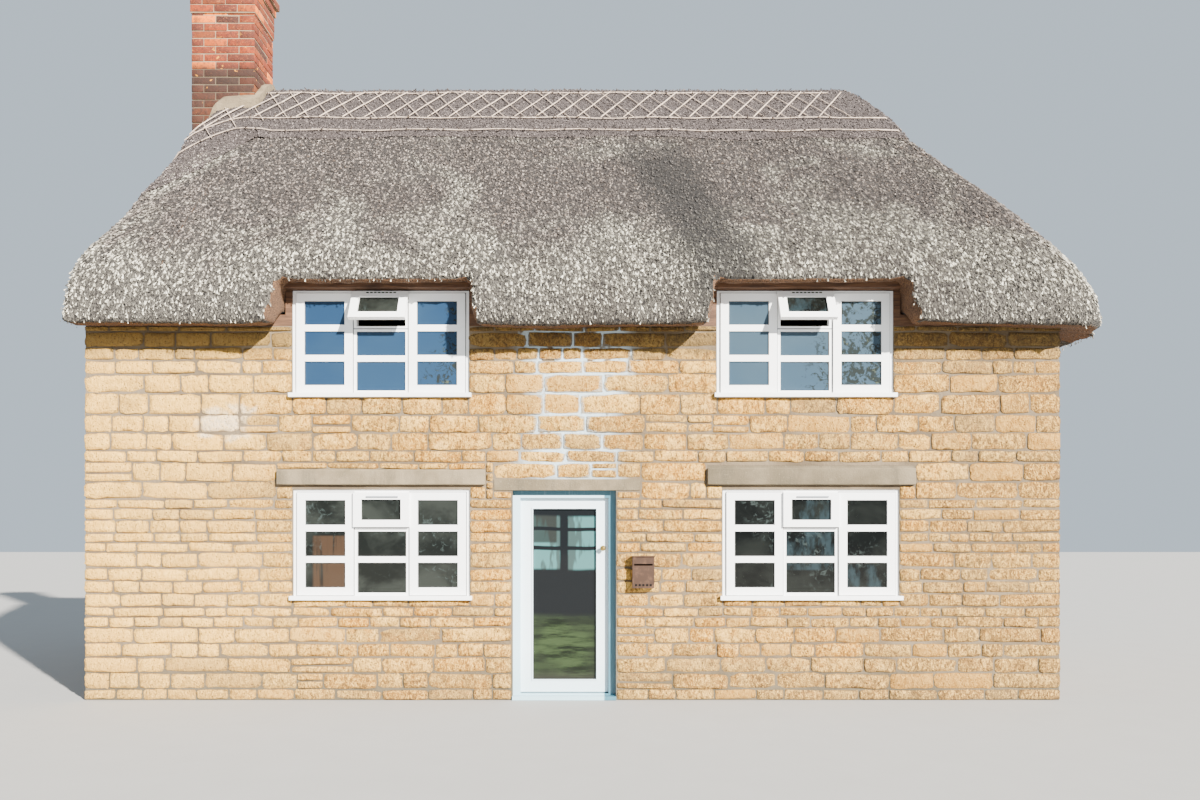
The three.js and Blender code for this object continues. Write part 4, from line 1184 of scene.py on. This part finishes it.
# hazel rods pinned over the ridge, straight runs and crossed ones between them
rods = {
    "lines": (6.40, 5.905, 5.715), "thick": 0.0056, "cross": 0.36, "apart": 0.235, "lift": 0.015,
    "left": -4.36, "bend": -3.66, "drop": 0.36, "turn": 2.66, "step": 0.09, "wave": 0.008,
    "spread": (0.92, 1.08), "over": 0.006, "pegThick": 0.006, "pegEvery": 0.6, "pegTilt": 0.03,
    "pegOut": (0.012, 0.03), "ridge": (-3.55, 2.86), "tipLean": (0.04, 0.02, 0.028),
    "tipApart": (0.10, 0.22),
}


def lineHeight(z, x):
    # the rods bend down round the chimney end
    if x > rods["bend"]:
        return z
    t = (rods["bend"] - x) / (rods["bend"] - rods["left"])
    return z - rods["drop"] * t ** 1.5


def onCap(tree, x, z, side):
    # the point of the cap at this height, seen from the front (-1) or the back (1)
    hit = tree.ray_cast(Vector((x, side * 5, z)), Vector((0, -side, 0)))
    if hit[0] is None:
        return None
    return hit[0] + hit[1] * rods["lift"]


def roundEnd(tree, z, angle):
    centre = Vector((rods["turn"], 0, z))
    out = Vector((math.sin(angle), -math.cos(angle), 0))
    hit = tree.ray_cast(centre + out * 4, -out)
    return hit[0] + hit[1] * rods["lift"] if hit[0] else None


def layRods(name, paths, material, thick):
    curve = bpy.data.curves.new(name, "CURVE")
    curve.dimensions = "3D"
    curve.bevel_depth = thick
    curve.bevel_resolution = 1
    curve.use_fill_caps = True
    for path in paths:
        points = [p for p in path if p]
        if len(points) < 2:
            continue
        spline = curve.splines.new("POLY")
        spline.points.add(len(points) - 1)
        for point, place in zip(spline.points, points):
            point.co = (*place, 1)
            point.radius = random.uniform(0.8, 1.15)
    piece = newPiece(name, curve)
    activate(piece)
    bpy.ops.object.convert(target="MESH")
    piece = bpy.context.object
    smooth(piece, 60)
    finishPiece(piece, material, "cap_thatch")


def straightRods(tree):
    # the long runs on both slopes, and round the hip but for the topmost
    runs = []
    for z in rods["lines"]:
        for side in (-1, 1):
            x = rods["left"]
            run = []
            while x < rods["turn"]:
                wave = rods["wave"] * math.sin(x * 7 + z * 5 + side)
                run.append(onCap(tree, x, lineHeight(z, x) + wave, side))
                x += rods["step"]
            runs.append(run)
        if z < rods["lines"][0]:
            runs.append([roundEnd(tree, z, math.radians(a)) for a in range(0, 181, 12)])
    return runs


def crossedRods(tree):
    # the crossed rods between the upper two lines, with the pegs that hold them all
    top, middle = rods["lines"][:2]
    steps = [i / 5 for i in range(6)]
    over, tilt = rods["over"], rods["pegTilt"]
    rising, falling, pegs = [], [], []
    for side in (-1, 1):
        x = rods["left"] + 0.05
        while x < rods["turn"] + 0.02:
            span = rods["cross"]
            up = [onCap(tree, x + span * t, lineHeight(middle + (top - middle) * t, x), side) for t in steps]
            down = [onCap(tree, x + span * t, lineHeight(top + (middle - top) * t, x), side) for t in steps]
            rising.append([p + Vector((0, side * over, over)) if p else None for p in up])
            falling.append(down)
            x += rods["apart"] * random.uniform(*rods["spread"])
        x = rods["left"]
        while x < rods["turn"]:
            for z in rods["lines"]:
                p = onCap(tree, x + random.uniform(-tilt, tilt), lineHeight(z, x), side)
                if p:
                    tip = Vector((random.uniform(-tilt, tilt), 0, random.uniform(-tilt, 0.035)))
                    tip.y = side * random.uniform(*rods["pegOut"])
                    pegs.append([p - tip * 0.4, p + tip])
            x += rods["apart"] * rods["pegEvery"]
    return rising, falling, pegs


def ridgeTips(tree):
    # spar tips stand up along the ridge itself
    tips = []
    x, stop = rods["ridge"]
    along, across, rise = rods["tipLean"]
    while x < stop:
        hit = tree.ray_cast(Vector((x, 0, 9)), Vector((0, 0, -1)))
        if hit[0]:
            lean = Vector((random.uniform(-along, along), random.uniform(-across, across), rise))
            tips.append([hit[0] - lean * 0.3, hit[0] + lean])
        x += random.uniform(*rods["tipApart"])
    return tips


def buildRods():
    random.seed(21)
    tree = BVHTree.FromObject(ridgeStraw, bpy.context.evaluated_depsgraph_get())
    straight = straightRods(tree)
    rising, falling, pegs = crossedRods(tree)
    pegs += ridgeTips(tree)
    hazelPale = timberFinish("split_hazel", (0.30, 0.225, 0.17), (0.80, 0.62, 0.49), (1, 1, 1))
    hazelDull = timberFinish("barked_hazel", (0.16, 0.120, 0.095), (0.74, 0.57, 0.45), (1, 1, 1))
    twig = timberFinish("dark_twig", (0.025, 0.018, 0.015), (0.11, 0.080, 0.065), (1, 1, 1))
    layRods("straight_rods", straight, hazelPale, rods["thick"])
    layRods("rising_rods", rising, hazelPale, rods["thick"])
    layRods("falling_rods", falling, hazelDull, rods["thick"] * 0.9)
    layRods("spar_tips", pegs, twig, rods["pegThick"])


buildRods()
print("ridge rods pinned")

# small fittings: panes, gaskets and painted gap shadows, the vents' slots and covers, the door's bead, the
# letter box's holes, the slots and holes in painted shade
fitting = {
    "frames": ("upper_left_window", "upper_right_window", "lower_left_window", "lower_right_window"),
    "stile": 0.071, "rail": 0.068, "bar": 0.056, "half": 0.2145, "centreBar": 0.054, "sill": 0.018,
    "sashGlass": -2.488, "centreGlass": -2.475, "glassThick": 0.004, "paneGasket": (0.004, 0.002),
    "frameFront": -2.485, "gasketAndGapShade": 0.006, "gapShadeThick": 0.0015, "shutVent": (0.302, 0.245),
    "ventLine": (0.011, 0.003), "slotShift": 0.01, "slotDepth": (-0.0385, -0.0355),
    "slotRise": (-0.026, -0.014), "hinge": 0.002, "cover": (-0.13, 0.15),
    "slots": 8, "slotApart": 0.034, "slotHalf": 0.012, "lean": math.pi / 6, "coverHeight": 0.014,
    "coverDrop": 0.046, "coverProud": 0.009, "ventFace": 0.0075, "ventLift": 0.0012,
}
letterBox = {"holes": 5, "first": 0.18, "apart": 0.16, "hole": 0.018, "deep": 0.0035, "back": 0.006}
doorBead = {"overlap": 0.002, "wide": 0.013, "thick": 0.006, "bevel": 0.002}


def bar(low, high):
    # a slim bar between two corners, its arrises taken off
    size = [b - a for a, b in zip(low, high)]
    piece = cube("bar", [(a + b) / 2 for a, b in zip(low, high)], size)
    applyModifier(piece, "BEVEL", width=min(size) * 0.25, segments=1)
    return piece


def upright(x0, x1, z0, z1, y):
    deselect()
    middle = ((x0 + x1) / 2, y, (z0 + z1) / 2)
    bpy.ops.mesh.primitive_plane_add(size=1, location=middle, rotation=(math.pi / 2, 0, 0))
    piece = bpy.context.object
    piece.scale = (x1 - x0, z1 - z0, 1)
    freeze(piece)
    return piece


def ring(x0, x1, z0, z1, y, wide, thick):
    # a flat ring that faces the front
    piece = upright(x0, x1, z0, z1, y)
    pickFaces(piece, lambda c, n: True)
    bpy.ops.mesh.inset(thickness=wide, depth=0)
    bpy.ops.mesh.delete(type="FACE")
    bpy.ops.object.mode_set(mode="OBJECT")
    applyModifier(piece, "SOLIDIFY", thickness=thick, offset=1)
    return piece


def plate(x0, x1, z0, z1, y, thick):
    # a sheet of glass that faces the front, its edges just eased
    piece = upright(x0, x1, z0, z1, y)
    applyModifier(piece, "SOLIDIFY", thickness=thick, offset=-1)
    applyModifier(piece, "BEVEL", width=0.0008, segments=1)
    return piece


def glaze(edges, y, sheets, gasketsAndGapShade):
    # a pane with a grey gasket round it
    wide, thick = fitting["paneGasket"]
    gasketsAndGapShade.append(ring(*edges, y, wide, thick))
    sheets.append(plate(*edges, y, fitting["glassThick"]))


def glazeWindow(name, gasketsAndGapShade):
    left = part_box(name + "_left_casement")
    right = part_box(name + "_right_casement")
    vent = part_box(name + "_vent")
    middle = (vent[0].x + vent[1].x) / 2
    low, high = left[0].z, left[1].z
    front, wide, half = fitting["frameFront"], fitting["gasketAndGapShade"], fitting["half"]
    pane = (high - low - 2 * fitting["rail"] - 2 * fitting["bar"]) / 3
    rows = [low + fitting["rail"] + i * (pane + fitting["bar"]) for i in range(3)]
    sheets = []
    # painted shade: a dark line all round each casement, and under the vent, for the shadow in their gaps
    for a, b in ((left[0].x, left[1].x), (right[0].x, right[1].x)):
        gasketsAndGapShade.append(ring(a - wide, b + wide, low - wide, high + wide, front, wide, fitting["gapShadeThick"]))
        for z in rows:
            edges = (a + fitting["stile"], b - fitting["stile"], z, z + pane)
            glaze(edges, fitting["sashGlass"], sheets, gasketsAndGapShade)
    lower = (low - fitting["sill"], rows[0] + pane)
    upper = (rows[0] + pane + fitting["centreBar"], rows[1] + pane)
    for z0, z1 in (lower, upper):
        glaze((middle - half, middle + half, z0, z1), fitting["centreGlass"], sheets, gasketsAndGapShade)
    drop, reach = fitting["shutVent"]
    below, above = [high - drop - gap for gap in fitting["ventLine"]]
    near = front - fitting["gapShadeThick"]
    gasketsAndGapShade.append(bar((middle - reach, near, below), (middle + reach, front, above)))
    finish = {"upper_left_window": leftSkyReflection, "upper_right_window": rightSkyReflection}.get(name, roomGlass)
    finishPiece(join(sheets, name + "_panes"), finish, "window_glass")
    return middle, high, vent


def fitWindows():
    gasketsAndGapShade, slots, covers = [], [], []
    lean = Matrix.Rotation(-fitting["lean"], 4, "X")
    half, tall = fitting["slotHalf"], fitting["coverHeight"]
    near, far = fitting["slotDepth"]
    foot, head = fitting["slotRise"]
    start, stop = fitting["cover"]
    for name in fitting["frames"]:
        middle, high, vent = glazeWindow(name, gasketsAndGapShade)
        if name.startswith("upper"):
            # the open vent shows its row of slots, near-black plates of painted shade
            hinge = Matrix.Translation((0, fitting["frameFront"], high - fitting["hinge"])) @ lean
            for i in range(fitting["slots"]):
                at = middle + fitting["slotShift"] + (i - (fitting["slots"] - 1) / 2) * fitting["slotApart"]
                slot = bar((at - half, near, foot), (at + half, far, head))
                slot.data.transform(hinge)
                slots.append(slot)
        else:
            y, z = vent[0].y, vent[1].z - fitting["coverDrop"]
            covers.append(bar((middle + start, y - fitting["coverProud"], z), (middle + stop, y, z + tall)))
    finishPiece(join(gasketsAndGapShade, "window_gaskets_and_gap_shade"), gasketAndGapShade, "window_glass")
    finishPiece(join(slots, "trickle_slots"), holeShade, "white_paint")
    finishPiece(join(covers, "trickle_covers"), greyPlastic, "white_paint")


def fitVentPanes():
    # the vents' own panes, a hair in front of their webs on both sides
    face = fitting["ventFace"]
    for name in fitting["frames"]:
        piece = copyNode(name + "_vent", name + "_vent_pane")
        middle = sum(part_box(name + "_vent"), Vector()) / 2
        out = max(piece.data.polygons, key=lambda side: side.area).normal.copy()
        deleteFaces(piece, lambda c, n: abs(n.dot(out)) < 0.9 or abs((c - middle).dot(out)) > face)
        applyModifier(piece, "DISPLACE", strength=fitting["ventLift"], mid_level=0)
        finishPiece(piece, ventGlass, "window_glass")


def fitDoor():
    low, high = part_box("door_glass")
    lap = doorBead["overlap"]
    edges = (low.x - lap, high.x + lap, low.z - lap, high.z + lap)
    bead = ring(*edges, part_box("door_leaf")[0].y, doorBead["wide"], doorBead["thick"])
    bead.name = "door_glass_bead"
    applyModifier(bead, "BEVEL", width=doorBead["bevel"], segments=2)
    finishPiece(bead, leafPaint, "door_paint", body="door")
    # drain holes along the foot of the letter box, near-black squares of painted shade
    low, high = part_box("letter_box")
    size = letterBox["hole"]
    holes = []
    for i in range(letterBox["holes"]):
        at = low.x + (high.x - low.x) * (letterBox["first"] + letterBox["apart"] * i)
        corner = Vector((at - size / 2, low.y + letterBox["back"], low.z + size))
        holes.append(bar(corner, corner + Vector((size, letterBox["deep"], size))))
    finishPiece(join(holes, "letter_box_holes"), holeShade, "brown_metal")


fitWindows()
fitVentPanes()
fitDoor()
print("windows and door fitted")

# the chimney: bricks on a mortar core, in tiers
chimney = {
    "length": 0.259, "course": 0.085, "joint": 0.009, "proud": 0.005, "depth": 0.03, "bevel": 0.005,
    "shaft": (4.72, 7.21), "band": (7.215, 7.475), "inset": 0.014, "bed": 0.004, "shortest": 0.04,
    "leftover": 0.075, "tilt": 0.012, "step": 0.003, "drift": 0.002, "wrap": 0.001,
}


def makeBrick():
    joint = chimney["joint"]
    size = (chimney["length"] - joint, chimney["depth"], chimney["course"] - joint)
    base = cube("brick", (0, 0, 0), size)
    applyModifier(base, "BEVEL", width=chimney["bevel"], segments=2, limit_method="ANGLE")
    return base


def brickFace(base, place, width, low, high, seed):
    # one side of a tier, in running bond
    dice = random.Random(seed)
    pieces = []
    z = low
    row = 0
    course, joint, length = chimney["course"], chimney["joint"], chimney["length"]
    wrap = chimney["proud"] - chimney["wrap"]
    tilt, step, drift = chimney["tilt"], chimney["step"], chimney["drift"]
    while z < high - 0.02:
        tall = min(course, high - z)
        x = -(length / 2) if row % 2 else 0.0
        while x < width - 0.02:
            a, b = max(x, 0.0), min(x + length, width)
            if width - b < chimney["leftover"]:
                b = width
            if b - a > chimney["shortest"]:
                # a corner brick runs on to the next face
                p = a + joint / 2 if a > 0 else -wrap
                q = b - joint / 2 if b < width else width + wrap
                size = Matrix.Diagonal(((q - p) / (length - joint), 1, (tall - joint) / (course - joint), 1))
                turn = Matrix.Rotation(dice.uniform(-tilt, tilt), 4, "Y")
                sink = chimney["depth"] / 2 - chimney["proud"] + dice.uniform(-step, step)
                middle = Vector(((p + q) / 2, sink, z + tall / 2 + dice.uniform(-drift, drift)))
                spot = place @ Matrix.Translation(middle) @ turn @ size
                pieces.append(placeCopy(base, spot, dice.random()))
            x = b if b == width else x + length
        z += course
        row += 1
    return pieces


def brickTier(base, low, high, bottom, top, seed):
    # bricks on the four sides of a box
    pieces = []
    wide, deep = high.x - low.x, high.y - low.y
    sides = [
        (Matrix.Translation((low.x, low.y, 0)), wide),
        (Matrix.Translation((high.x, low.y, 0)) @ Matrix.Rotation(math.pi / 2, 4, "Z"), deep),
        (Matrix.Translation((high.x, high.y, 0)) @ Matrix.Rotation(math.pi, 4, "Z"), wide),
        (Matrix.Translation((low.x, high.y, 0)) @ Matrix.Rotation(-math.pi / 2, 4, "Z"), deep),
    ]
    for i, (place, width) in enumerate(sides):
        pieces += brickFace(base, place, width, bottom, top, seed + i)
    return pieces


def buildChimney():
    base = makeBrick()
    capLow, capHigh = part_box("chimney_cap")
    stackLow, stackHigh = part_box("chimney_stack")
    inset = Vector((chimney["inset"], chimney["inset"], 0))
    low, high = stackLow + inset, stackHigh - inset
    pieces = brickTier(base, low, high, *chimney["shaft"], 60)
    pieces += brickTier(base, stackLow, stackHigh, *chimney["band"], 70)
    # the cap oversails by one step, then two, then one
    step = (stackLow.x + chimney["inset"] - capLow.x) / 2
    rise = capHigh.z - capLow.z
    for i, steps in enumerate((1, 2, 1)):
        grow = Vector((step * steps, step * steps, 0))
        bottom = capLow.z + i * rise / 3
        top = bottom + rise / 3 - chimney["bed"]
        pieces += brickTier(base, low - grow, high + grow, bottom, top, 80 + 5 * i)
    bricks = join(pieces, "chimney_bricks")
    smooth(bricks, 40)
    finishPiece(bricks, brick, "brick")
    discard([base])
    print("chimney bricks", len(bricks.data.polygons), "faces")


buildChimney()
print("chimney bricks laid")
